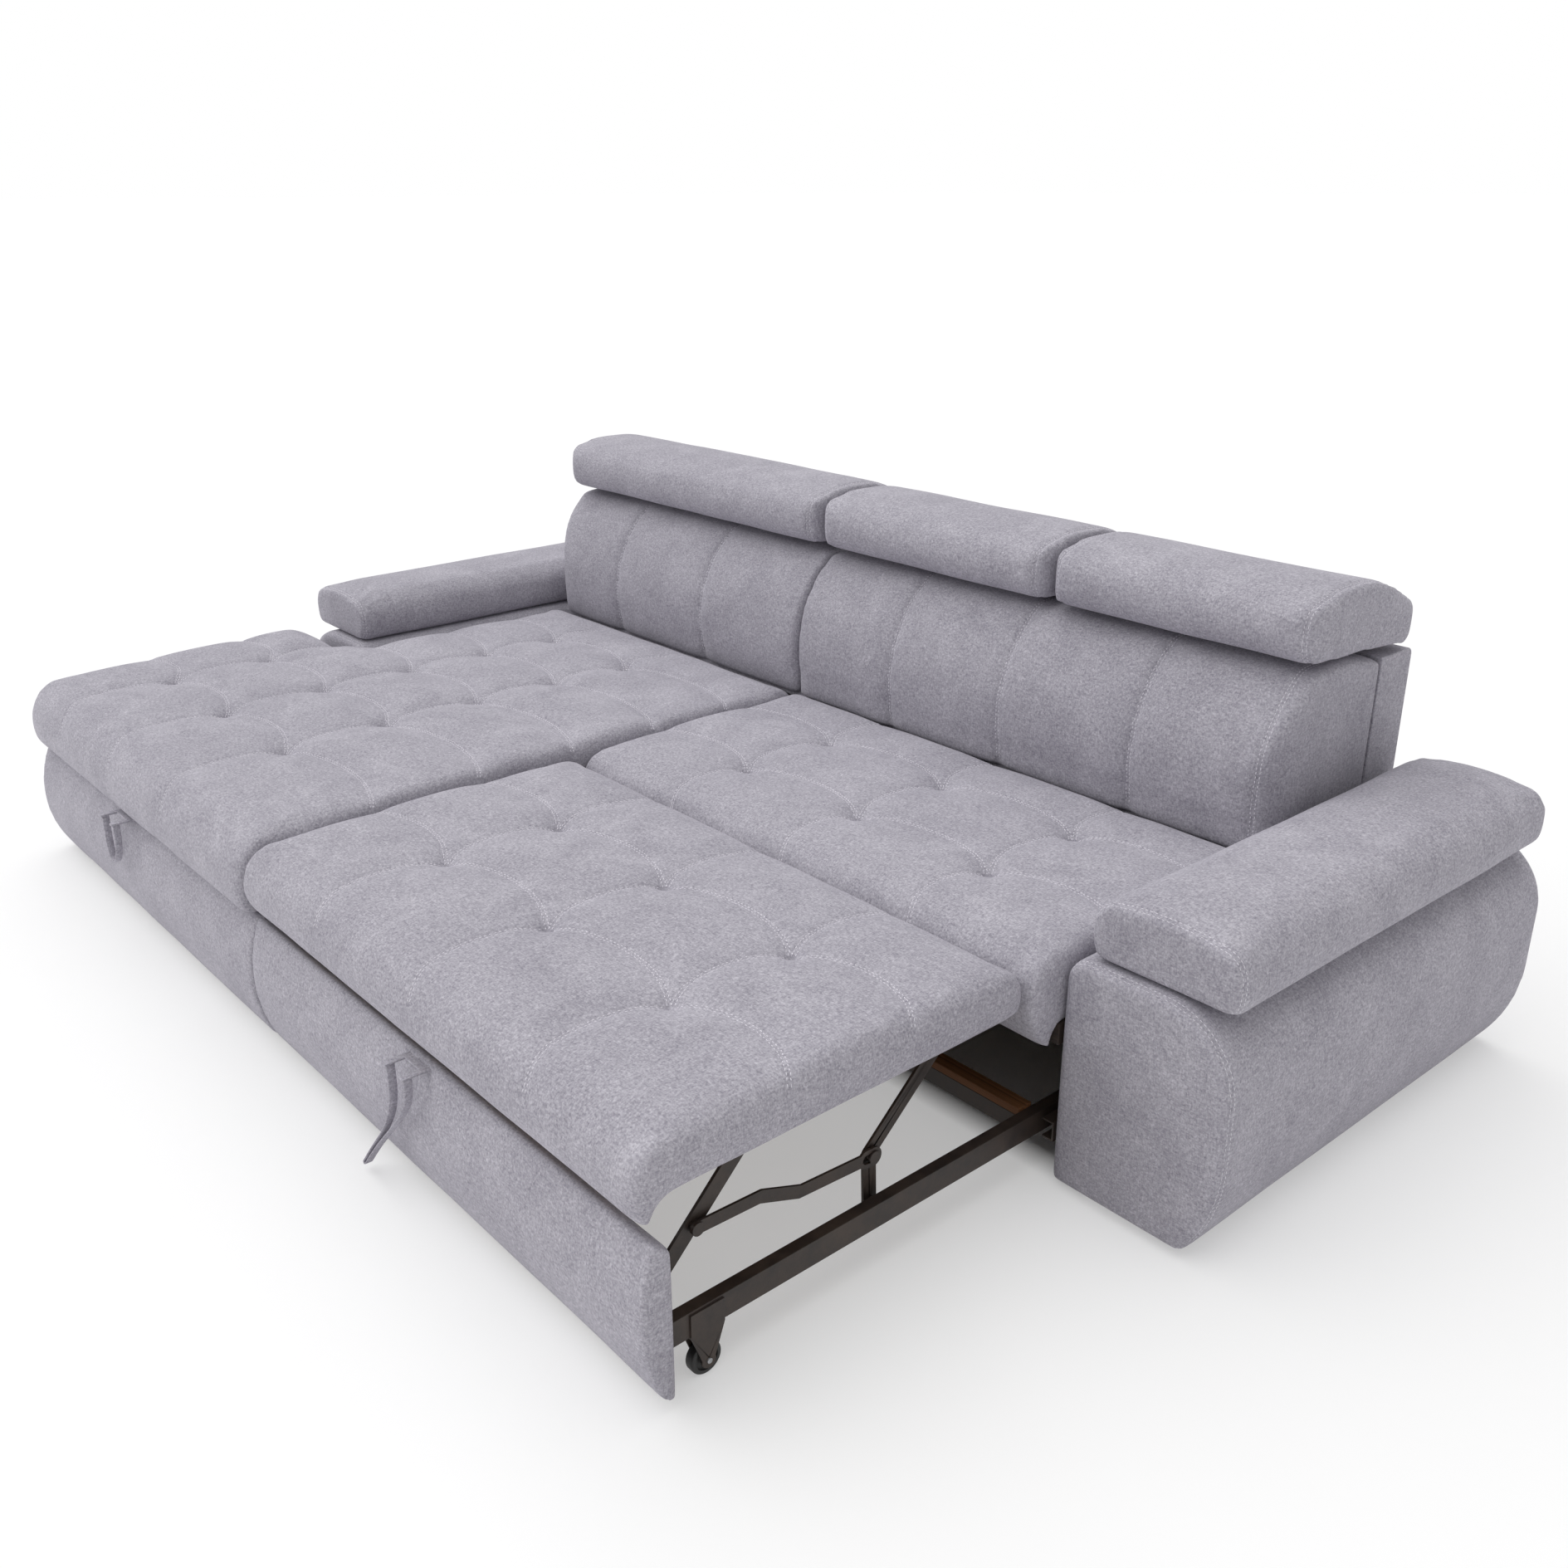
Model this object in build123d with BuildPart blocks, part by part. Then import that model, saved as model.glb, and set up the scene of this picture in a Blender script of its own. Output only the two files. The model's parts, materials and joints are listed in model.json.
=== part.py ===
import math
import os

from build123d import *

os.makedirs("parts", exist_ok=True)

# Corner sofa bed, millimetres. X runs across the seat, Y from the front to the back, Z up from the floor.

# Overall frame
half_width = 1375
front_y = -858
rear_y = 858
foot_height = 15
foot_radius = 24
foot_chamfer = 3
foot_inset = 175
foot_front_y = -40
foot_rear_inset = 60
foot_panel_inset = 80
foot_panel_setback = 8  # behind the foot of the chaise front
seat_top = 410
split_x = -112  # line between the chaise and the main seat
soft_gap = 4  # air between neighbouring cushions
running = 0.06  # radial clearance of a pin in its hole
overrun = 40  # how far a trimming prism passes the cushion that it trims
seat_clear = 0.3  # air between a closed lid or a roller and what it rests on

# Arms and their pads
arm_width = 295
arm_top = 407
arm_lip_round = 36
arm_shoulder_round = 123
arm_bulge_z = 180
arm_base_tuck = 55
right_arm_front = -88
left_arm_front = -140
arm_edge_round = 12
arm_pad_inner_inset = 24
arm_pad_outer_inset = 11
arm_pad_top = 517
arm_pad_setback = 18  # at the front and at the rear
arm_pad_crown = 14
arm_pad_swell = 8
arm_pad_top_round = 44
arm_pad_foot_round = 22
arm_pad_end_round = 10

# Backrest
back_depth = 313  # of a back cushion at its belly
back_cushion_inset = 118  # rear of the cushions to the rear of the arms
back_foot_set = 22  # foot, chest and brow lie behind the belly
back_chest_set = 28
back_brow_set = 113
back_foot_z = 402
back_belly_z = 500
back_chest_z = 615
back_top = 697
back_end_round = 80
back_join_round = 24
back_shell_inset = 13
back_wall = 12
back_shell_round = 14
back_seams_left = [-800, -460]
back_seams_right = [180, 478, 790]
seam_depth = 12
seam_slope = 0.8
post_width = 45
post_depth = 60
back_rail_height = 45
joint_air = 0.2  # glue line between butted timbers
ledge_thickness = 18
ledge_setback = 7

# Headrests and their hinges
headrest_axis_inset = 55
headrest_axis_z = 749
headrest_nose = 40
headrest_left_overhang = 12
headrest_right_overhang = 17
headrest_split_x = 527
headrest_reach = 321  # from the axis forward to the front
headrest_front_z = 780
headrest_lip_set = 29  # lip, brow, crown and slope lie behind the front
headrest_lip_z = 736
headrest_brow_set = 49
headrest_brow_z = 832
headrest_crown_set = 176
headrest_crown_z = 846
headrest_slope_set = 263
headrest_slope_z = 824
headrest_corner = 46
headrest_draw_in = 7
headrest_tail_lean = 30  # degrees, where the top runs into the rear nose
headrest_hinge_inset = 120

# Hinge leaves and pins, shared by the headrests and the chaise lid
leaf_thickness = 4
leaf_width = 24
leaf_foot_length = 40
leaf_foot_thickness = 4
hinge_pin_radius = 5
hinge_pin_length = 40
leaf_slot_gap = 2

# Main seat
main_nose_y = -150
main_nose_z = 350
main_hem_y = -88
main_hem_z = 250
main_fall = (-136, 300)  # point halfway down the waterfall front
main_lip = (-134, 392)  # point on the rolled lip above it
main_rear_round = 14
main_rear_dip = 3
main_rear_bend = (4, 7)  # in from the rear and down from the top
main_rear_drop = 18
main_side_round = 60
main_hem_round = 2
main_shoulder_y = -90
main_crown = 10
main_frame_bottom = 254
main_frame_height = 36
main_rail_width = 24
webbing_width = 70
webbing_thickness = 3
webbing_count = 8

# Quilting of the seat pads
stitch_floor = 408
stitch_slope = 0.75
stitch_reach = 14
tuft_depth = 14
tuft_radius = 24
tuft_tip = 2
row_arc = 42
column_arc = 30
pull_columns = [188, 500, 812]
pull_row_sets = [246, 470]  # behind the front
main_row_sets = [400, 180]  # ahead of the seat's rear
chaise_side_column_set = 221  # in from the chaise's outer side
chaise_long_columns = [-795, -495]
chaise_front_row_sets = [266, 490]  # behind the front
chaise_rear_row_sets = [520, 320, 125]  # ahead of the lid's hinge

# Chaise and its bedding box
chaise_tuck = 59
chaise_notch_gap = 25
chaise_hinge_z = 342
chaise_nose = 76
chaise_crown = 10
chaise_hem_setback = 14
chaise_front_round = 52
chaise_side_round = 70
chaise_notch_round = 55
pad_hem_round = 4
pad_belly_drop = 8  # how far a pad's front bulges below its mid height
chaise_hinge_insets = (150, 148)  # from the arm and from the split
box_top = 262
chaise_panel_depth = 58
panel_bulge_z = 150
chaise_panel_top_set = 32  # top and foot lie behind the belly
chaise_panel_foot_set = 36
box_wall = 20
box_floor_bottom = 22
box_floor_thickness = 12
rear_board_thickness = 24
rear_board_top = 255
side_panel_round = 8
lid_board_thickness = 16
lid_board_inset = 24

# Pull-out drawer
bay_gap = 4
drawer_panel_depth = 51
drawer_panel_bottom = 20
drawer_panel_top = 266
drawer_panel_top_set = 24
drawer_panel_foot_set = 34
drawer_panel_shoulder = 20
rail_width = 20
rail_height = 40
rail_bottom = 76
rail_wall = 2
rail_inset = 33  # outer side of a rail to the side of its bay
rail_rear = 125
crossbar_thickness = 8
rear_bar_size = 30
rear_bar_y = -105
rear_bar_bottom = 78
batten_thickness = 14
wheel_radius = 25
wheel_width = 16
wheel_setback = 118
wheel_axle_radius = 4
wheel_edge_round = 3
wheel_tread = 7
wheel_hub_radius = 10
wheel_recess = 3
fork_thickness = 3
fork_width = 56
fork_top_drop = 4
fork_foot_half = 11
fork_foot_rise = 3
fork_foot_drop = 12
axle_end = 2
roller_radius = 14
roller_width = 14
roller_y = 96
roller_z = 96
roller_axle_radius = 4
roller_axle_end = 1
track_wall = 3
track_depth = 22
track_front = -84

# Lift linkage of the pull-out pad, as points in Y and Z
pivot_z = 92
front_lift_inset = 172  # from the pad's pocket to the lift pins
rear_lift_inset = 91
lift_reach_y = 142
lift_reach_z = 215
knee_set = 3  # ahead of the lower pivot
front_knee_z = 161
rear_knee_z = 175
stay_front_set = 51  # behind the front pivot
stay_front_z = 214
arm_bar_width = 26
arm_bar_thickness = 5
lift_bay = 21  # from a rail's inner side to the inner side of the lift arms
stay_width = 20
stay_thickness = 4
stay_joggle = 9
stay_bends = (0.34, 0.56)  # where the stay bends, as parts of its run
stay_slot_travel = 14
stay_slot_gap = 2.6
layer_gap = 2
lift_pin_radius = 6
bolt_radius = 5
bolt_spacer_radius = 8
rivet_head_radius = 10
rivet_head_height = 3

# Pull-out pad and its platform
bed_rear_gap = 5
bed_side_bottom = 324
bed_lip_bottom = 293
bed_lip_depth = 33
bed_hem_setback = 16
bed_crown = 9
bed_edge_round = 48
bed_side_round = 75
bed_rear_bend = (9, 17)  # in from the rear and down from the top
bed_rear_taper = 8
bed_skirt = 22
bed_pocket_front_wall = 46
bed_pocket_rear_wall = 23
platform_top = 350
platform_board = 14
bearer_width = 38
lift_bracket_thickness = 4
lift_bracket_width = 40

# Pull straps: flat fabric loops sewn to a tab
strap_thickness = 2.4
strap_width = 22
strap_stand = 16  # middle of the straps ahead of the fronts
tab_margin = 6
pull_tab_z = 258
pull_tab_thickness = 3
pull_route = [
    (520, pull_tab_z), (520, 230), (513, 202), (494, 164), (462, 122), (426, 84), (394, 53), (367, 29),
    (346, 17), (337, 29), (347, 54), (370, 88), (401, 126), (433, 163), (456, 200), (466, 230),
    (466, pull_tab_z),
]
loop_tab_z = 258
loop_tab_set = 22
loop_route = [
    (-716, loop_tab_z), (-716, 234), (-722, 206), (-736, 178), (-756, 160), (-774, 166), (-781, 190),
    (-782, 216), (-780, 238), (-780, loop_tab_z),
]

# Places that follow from the sizes
arm_inner = half_width - arm_width
arm_flat_out = half_width - arm_shoulder_round
arm_base_out = half_width - arm_base_tuck
arm_pad_inner = arm_inner + arm_pad_inner_inset
arm_pad_outer = half_width - arm_pad_outer_inset
arm_pad_rear = rear_y - arm_pad_setback
foot_x = half_width - foot_inset
chaise_out = half_width - chaise_tuck
back_cushion_rear = rear_y - back_cushion_inset
back_shell_rear = rear_y - back_shell_inset
back_belly_y = back_cushion_rear - back_depth
back_foot_y = back_belly_y + back_foot_set
back_chest_y = back_belly_y + back_chest_set
back_brow_y = back_belly_y + back_brow_set
ledge_front = back_foot_y + ledge_setback
headrest_axis_y = rear_y - headrest_axis_inset
headrest_front_y = headrest_axis_y - headrest_reach
headrest_lip_y = headrest_front_y + headrest_lip_set
headrest_brow_y = headrest_front_y + headrest_brow_set
headrest_crown_y = headrest_front_y + headrest_crown_set
headrest_slope_y = headrest_front_y + headrest_slope_set
headrest_bounds = [-arm_inner - headrest_left_overhang, split_x, headrest_split_x,
                   arm_inner + headrest_right_overhang]
main_seat_rear = back_foot_y - soft_gap
main_rows = [main_seat_rear - row for row in main_row_sets]
chaise_hinge_y = main_seat_rear - soft_gap - chaise_nose
chaise_hinge_x = [-arm_inner + chaise_hinge_insets[0], split_x - chaise_hinge_insets[1]]
chaise_columns = [-chaise_out + chaise_side_column_set, *chaise_long_columns]
chaise_rows_front = [front_y + row for row in chaise_front_row_sets]
chaise_rows_rear = [chaise_hinge_y - row for row in chaise_rear_row_sets]
panel_back_chaise = front_y + chaise_panel_depth
chaise_panel_top_y = front_y + chaise_panel_top_set
chaise_panel_foot_y = front_y + chaise_panel_foot_set
drawer_back = front_y + drawer_panel_depth
drawer_panel_top_y = front_y + drawer_panel_top_set
drawer_panel_foot_y = front_y + drawer_panel_foot_set
wheel_y = front_y + wheel_setback
strap_plane_y = front_y - strap_stand
loop_tab_rear = front_y + loop_tab_set
pull_rows = [front_y + row for row in pull_row_sets]
bed_rear = main_nose_y - bed_rear_gap
bed_pocket_front = front_y + bed_pocket_front_wall
bed_pocket_rear = bed_rear - bed_pocket_rear_wall
front_lift_y = bed_pocket_front + front_lift_inset
rear_lift_y = bed_pocket_rear - rear_lift_inset
front_pivot_y = front_lift_y - lift_reach_y
rear_pivot_y = rear_lift_y - lift_reach_y
front_knee_y = front_pivot_y - knee_set
rear_knee_y = rear_pivot_y - knee_set
stay_front_y = front_pivot_y + stay_front_set
bay_middle = (split_x + arm_inner) / 2
bay_mirror = Plane.YZ.offset(bay_middle)
sofa_mirror = Plane.YZ
lid_bottom = box_top + seat_clear
lift_z = pivot_z + lift_reach_z
rail_outer = arm_inner - rail_inset
rail_inner = rail_outer - rail_width
rail_top = rail_bottom + rail_height


def save(piece, name):
    piece.part.label = name
    export_step(piece.part, f"parts/{name}.step")


def crowned(plane, across, up, crown, swell, top_round, foot_round):
    # Cushion outline in a plane: flat foot, sides that swell, crowned top.
    left, right = across[0] + swell, across[1] - swell
    foot, top = up[0], up[1] - crown
    middle, waist = (left + right) / 2, (foot + top) / 2
    with BuildSketch(plane) as outline:
        with BuildLine():
            Line((left, foot), (right, foot))
            ThreePointArc((right, foot), (right + swell, waist), (right, top))
            ThreePointArc((right, top), (middle, top + crown), (left, top))
            ThreePointArc((left, top), (left - swell, waist), (left, foot))
        make_face()
        fillet(outline.vertices().group_by(Axis.Y)[-1], top_round)
        fillet(outline.vertices().group_by(Axis.Y)[0], foot_round)
    return outline.sketch


def drawn_in_plan(x_span, y_span, draw_in, corner):
    # Plan of a cushion whose four sides pull in between its corners.
    (x0, x1), (y0, y1) = x_span, y_span
    xm, ym = (x0 + x1) / 2, (y0 + y1) / 2
    with BuildSketch(Plane.XY) as plan:
        with BuildLine():
            ThreePointArc((x0, y0), (xm, y0 + draw_in), (x1, y0))
            ThreePointArc((x1, y0), (x1 - draw_in, ym), (x1, y1))
            ThreePointArc((x1, y1), (xm, y1 - draw_in), (x0, y1))
            ThreePointArc((x0, y1), (x0 + draw_in, ym), (x0, y0))
        make_face()
        fillet(plan.vertices(), corner)
    return plan.sketch


def stitch_groove(start, end, bow):
    # V groove of a sewn line that bows sideways between two points of a pad's top.
    (x0, y0), (x1, y1) = start, end
    run = math.hypot(x1 - x0, y1 - y0)
    side = (-(y1 - y0) / run, (x1 - x0) / run)
    middle = ((x0 + x1) / 2 + side[0] * bow, (y0 + y1) / 2 + side[1] * bow, stitch_floor)
    half = stitch_reach * 2 * stitch_slope
    with BuildPart() as groove:
        with BuildLine() as path:
            ThreePointArc((x0, y0, stitch_floor), middle, (x1, y1, stitch_floor))
        tangent = path.line % 0
        across = Vector(0, 0, 1).cross(tangent)
        with BuildSketch(Plane(path.line @ 0, x_dir=across, z_dir=tangent)):
            Polygon((0, 0), (half, stitch_reach * 2), (-half, stitch_reach * 2), align=None)
        sweep(path=path.line)
    return groove.part


def quilt_grooves(columns, rows, stops_x, stops_y):
    # Rows bow to the back and columns to the left, from stop to stop: tufts and the pad's edges.
    grooves = []
    for y in rows:
        for x0, x1 in zip(stops_x, stops_x[1:]):
            grooves.append(stitch_groove((x0, y), (x1, y), row_arc))
    for x in columns:
        for y0, y1 in zip(stops_y, stops_y[1:]):
            grooves.append(stitch_groove((x, y0), (x, y1), column_arc))
    return grooves


def tufts(columns, rows):
    # Conical dimples where the quilting stitches are pulled down.
    with BuildPart() as dimples:
        with Locations(*[(x, y, seat_top - tuft_depth) for x in columns for y in rows]):
            Cone(tuft_tip, tuft_radius * 2, tuft_depth * 2, align=(Align.CENTER, Align.CENTER, Align.MIN))
    return dimples.part


def flat_bar(points, width, start_x, thickness, holes):
    # Steel bar along points of Y and Z, with rounded ends and knees and round holes.
    with BuildPart() as bar:
        with BuildSketch(Plane.YZ.offset(start_x)):
            for (y0, z0), (y1, z1) in zip(points, points[1:]):
                with Locations(((y0 + y1) / 2, (z0 + z1) / 2)):
                    run = math.hypot(y1 - y0, z1 - z0)
                    SlotCenterToCenter(run, width, rotation=math.degrees(math.atan2(z1 - z0, y1 - y0)))
            for y, z, radius in holes:
                with Locations((y, z)):
                    Circle(radius, mode=Mode.SUBTRACT)
        extrude(amount=thickness)
    return bar.part


def stepped_pin(places, steps):
    # Turned pins along X at places of Y and Z. Each step is (start x, end x, radius).
    with BuildPart() as pins:
        for y, z in places:
            for start, end, radius in steps:
                with BuildSketch(Plane.YZ.offset(start)):
                    with Locations((y, z)):
                        Circle(radius)
                extrude(amount=end - start)
    return pins.part


def hinge_leaf(xs, axis_y, axis_z, foot_z):
    # Upright plates with a round eye for the pin, on screwed feet.
    with BuildPart() as leaf:
        for x in xs:
            with BuildSketch(Plane.YZ.offset(x - leaf_thickness / 2)):
                with Locations((axis_y, axis_z)):
                    Circle(leaf_width / 2)
                with Locations((axis_y, (axis_z + foot_z) / 2)):
                    Rectangle(leaf_width, axis_z - foot_z)
                with Locations((axis_y, axis_z)):
                    Circle(hinge_pin_radius + running, mode=Mode.SUBTRACT)
            extrude(amount=leaf_thickness)
            with Locations((x, axis_y, foot_z)):
                Box(leaf_foot_length, leaf_width, leaf_foot_thickness,
                    align=(Align.CENTER, Align.CENTER, Align.MIN))
    return leaf.part


def leaf_slots(xs, axis_y, axis_z, reach):
    # Room in a cushion's round nose for the leaf, over the whole swing, and the bore of its pin.
    width = leaf_thickness + 2 * leaf_slot_gap
    front = axis_y - leaf_width / 2 - leaf_slot_gap
    top = axis_z + leaf_width / 2 + leaf_slot_gap
    with BuildPart() as slots:
        for x in xs:
            with Locations((x, front, axis_z - reach)):
                Box(width, axis_y + reach - front, top - axis_z + reach,
                    align=(Align.CENTER, Align.MIN, Align.MIN))
            with BuildSketch(Plane.YZ.offset(x - hinge_pin_length / 2)):
                with Locations((axis_y, axis_z)):
                    Circle(hinge_pin_radius)
            extrude(amount=hinge_pin_length)
    return slots.part


def front_profile(top_y, top_z, foot_y, foot_z, back_y, shoulder):
    # Upholstered front board: straight back, round belly.
    with BuildSketch(Plane.YZ) as outline:
        with BuildLine():
            belly = ThreePointArc((foot_y, foot_z), (front_y, panel_bulge_z), (top_y, top_z))
            Polyline(belly @ 1, (back_y, top_z - shoulder), (back_y, foot_z), belly @ 0)
        make_face()
    return outline.sketch


def swept_loop(points, y):
    # Flat fabric loop that hangs in a plane facing the front, given as X and Z points.
    corners = points[1:-1]
    radii = []
    for before, corner, after in zip(points, corners, points[2:]):
        arrive, leave = Vector(*corner) - Vector(*before), Vector(*after) - Vector(*corner)
        turn = math.radians(arrive.get_angle(leave))
        radii.append(0.45 * min(arrive.length, leave.length) / math.tan(turn / 2))
    with BuildPart() as strap:
        with BuildLine(Plane.XZ.offset(-y)) as path:
            FilletPolyline(*points, radius=radii)
        with BuildSketch(Plane(path.line @ 0, x_dir=(0, 1, 0), z_dir=path.line % 0)):
            Rectangle(strap_width, strap_thickness)
        sweep(path=path.line)
    print("strap radii", [round(radius, 1) for radius in radii], "length", round(path.wire().length, 1))
    return strap.part


# Arms: upholstered boxes with a bulging outer side
for side, front in (("right", right_arm_front), ("left", left_arm_front)):
    with BuildPart() as arm_body:
        with BuildSketch(Plane.XZ.offset(-rear_y)):
            with BuildLine():
                inner = Line((arm_inner, foot_height), (arm_inner, arm_top - arm_lip_round))
                lip = TangentArc(inner @ 1, (arm_inner + arm_lip_round, arm_top), tangent=(0, 1))
                flat = Line(lip @ 1, (arm_flat_out, arm_top))
                shoulder_drop = half_width - arm_flat_out
                shoulder = TangentArc(flat @ 1, (half_width, arm_top - shoulder_drop), tangent=(1, 0))
                side_run = Line(shoulder @ 1, (half_width, arm_bulge_z))
                flank = TangentArc(side_run @ 1, (arm_base_out, foot_height), tangent=(0, -1))
                Line(flank @ 1, inner @ 0)
            make_face()
        extrude(amount=rear_y - front)
        for end_face in (arm_body.faces().sort_by(Axis.Y)[0], arm_body.faces().sort_by(Axis.Y)[-1]):
            fillet(end_face.edges().sort_by(Axis.Z)[1:], arm_edge_round)
    with BuildPart() as arm_pad:
        pad_front = front + arm_pad_setback
        oval = crowned(Plane.XZ.offset(-arm_pad_rear), (arm_pad_inner, arm_pad_outer), (arm_top, arm_pad_top),
                       arm_pad_crown, arm_pad_swell, arm_pad_top_round, arm_pad_foot_round)
        extrude(oval, amount=arm_pad_rear - pad_front)
        fillet(arm_pad.faces().sort_by(Axis.Y)[0].edges(), arm_pad_end_round)
        fillet(arm_pad.faces().sort_by(Axis.Y)[-1].edges(), arm_pad_end_round)
    if side == "left":
        with BuildPart() as left_arm_body:
            mirror(arm_body.part, about=sofa_mirror)
        with BuildPart() as left_arm_pad:
            mirror(arm_pad.part, about=sofa_mirror)
        arm_body, arm_pad = left_arm_body, left_arm_pad
    save(arm_body, f"{side}_arm_body")
    save(arm_pad, f"{side}_arm_pad")

# Back: a fabric shell over a timber frame, with two seamed cushions on a ledge
with BuildPart() as back_shell:
    with Locations((0, back_cushion_rear, foot_height)):
        Box(2 * arm_inner, back_shell_rear - back_cushion_rear, back_top - foot_height,
            align=(Align.CENTER, Align.MIN, Align.MIN))
    fillet(back_shell.edges().filter_by(Axis.X).group_by(Axis.Y)[-1].sort_by(Axis.Z)[-1:], back_shell_round)
    open_faces = [back_shell.faces().sort_by(Axis.Y)[0], back_shell.faces().sort_by(Axis.Z)[0]]
    offset(amount=-back_wall, openings=open_faces)
save(back_shell, "back_shell")

frame_bottom = foot_height
frame_top = back_top - back_wall
post_xs = [-arm_inner + back_wall + post_width / 2, split_x - post_width / 2 - box_wall,
           bay_middle, rail_inner - bay_gap - post_width / 2]
with BuildPart() as back_frame:
    post_bottom = frame_bottom + back_rail_height + joint_air
    with Locations(*[(x, back_cushion_rear, post_bottom) for x in post_xs]):
        Box(post_width, post_depth, frame_top - back_rail_height - joint_air - post_bottom,
            align=(Align.CENTER, Align.MIN, Align.MIN))
    with Locations((0, back_cushion_rear, frame_bottom), (0, back_cushion_rear, frame_top - back_rail_height)):
        Box(2 * (arm_inner - back_wall), post_depth, back_rail_height,
            align=(Align.CENTER, Align.MIN, Align.MIN))
save(back_frame, "back_frame")
with BuildPart() as back_ledge:
    with Locations((0, ledge_front, back_foot_z)):
        Box(2 * arm_inner, back_cushion_rear - ledge_front, ledge_thickness,
            align=(Align.CENTER, Align.MIN, Align.MAX))
save(back_ledge, "back_ledge_board")

for side, span, seams in (
    ("left", (-arm_inner, split_x - soft_gap / 2), back_seams_left),
    ("right", (split_x + soft_gap / 2, arm_inner), back_seams_right),
):
    with BuildPart() as back_cushion:
        with BuildSketch(Plane.YZ.offset(span[0])):
            with BuildLine():
                belly = ThreePointArc((back_foot_y, back_foot_z), (back_belly_y, back_belly_z),
                                      (back_chest_y, back_chest_z))
                brow = TangentArc(belly @ 1, (back_brow_y, back_top), tangent=belly % 1)
                Polyline(brow @ 1, (back_cushion_rear, back_top), (back_cushion_rear, back_foot_z), belly @ 0)
            make_face()
        extrude(amount=span[1] - span[0])
        with BuildSketch(Plane.XY.offset(back_foot_z)) as plan:
            with Locations(((span[0] + span[1]) / 2, back_cushion_rear)):
                Rectangle(span[1] - span[0], back_cushion_rear - back_belly_y + soft_gap,
                          align=(Align.CENTER, Align.MAX))
            front_corners = plan.vertices().group_by(Axis.Y)[0].sort_by(Axis.X)
            end_corner = front_corners[0] if side == "left" else front_corners[-1]
            inner_corner = front_corners[-1] if side == "left" else front_corners[0]
            fillet(end_corner, back_end_round)
            fillet(plan.vertices().sort_by_distance(inner_corner)[:1], back_join_round)
        extrude(amount=back_top - back_foot_z, mode=Mode.INTERSECT)
        for x in seams:
            with BuildLine(Plane.YZ.offset(x)) as seam:
                low = ThreePointArc((back_foot_y, back_foot_z), (back_belly_y, back_belly_z),
                                    (back_chest_y, back_chest_z))
                TangentArc(low @ 1, (back_brow_y, back_top), tangent=low % 1)
            start, direction = seam.line @ 0, seam.line % 0
            inward = Vector(1, 0, 0).cross(direction)
            with BuildSketch(Plane(start, x_dir=(1, 0, 0), z_dir=direction)) as notch:
                sign = 1 if inward.Y < 0 else -1
                half = 2 * seam_depth * seam_slope
                mouth = sign * seam_depth
                Polygon((0, -mouth), (half, mouth), (-half, mouth), align=None)
            sweep(path=seam.line, mode=Mode.SUBTRACT)
    save(back_cushion, f"back_cushion_{side}")

# Headrests: pads that lie on the back and swing up about their rear nose
headrest_names = ["left", "middle", "right"]
headrest_leaf_xs = []
for name, x0, x1 in zip(headrest_names, headrest_bounds, headrest_bounds[1:]):
    x_span = (x0 + soft_gap, x1 - soft_gap)
    hinge_xs = [x_span[0] + headrest_hinge_inset, x_span[1] - headrest_hinge_inset]
    headrest_leaf_xs += hinge_xs
    with BuildPart() as headrest:
        with BuildSketch(Plane.YZ.offset(x_span[0])):
            with BuildLine():
                under = Line((headrest_axis_y, headrest_axis_z - headrest_nose),
                             (headrest_lip_y, headrest_lip_z))
                nose = ThreePointArc(under @ 1, (headrest_front_y, headrest_front_z),
                                     (headrest_brow_y, headrest_brow_z))
                crown = ThreePointArc(nose @ 1, (headrest_crown_y, headrest_crown_z),
                                      (headrest_slope_y, headrest_slope_z))
                lean = math.radians(headrest_tail_lean)
                tail = Line(crown @ 1, (headrest_axis_y + headrest_nose * math.sin(lean),
                                        headrest_axis_z + headrest_nose * math.cos(lean)))
                ThreePointArc(tail @ 1, (headrest_axis_y + headrest_nose, headrest_axis_z), under @ 0)
            make_face()
        extrude(amount=x_span[1] - x_span[0])
        depth_span = (headrest_front_y, headrest_axis_y + headrest_nose)
        extrude(drawn_in_plan(x_span, depth_span, headrest_draw_in, headrest_corner),
                amount=headrest_crown_z, mode=Mode.INTERSECT)
        add(leaf_slots(hinge_xs, headrest_axis_y, headrest_axis_z, headrest_nose + soft_gap),
            mode=Mode.SUBTRACT)
    save(headrest, f"headrest_{name}")
    with BuildPart() as headrest_pins:
        for x in hinge_xs:
            add(stepped_pin([(headrest_axis_y, headrest_axis_z)],
                            [(x - hinge_pin_length / 2, x + hinge_pin_length / 2, hinge_pin_radius)]))
    save(headrest_pins, f"headrest_pins_{name}")
with BuildPart() as headrest_leaves:
    add(hinge_leaf(headrest_leaf_xs, headrest_axis_y, headrest_axis_z, back_top))
save(headrest_leaves, "headrest_hinge_leaves")

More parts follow.
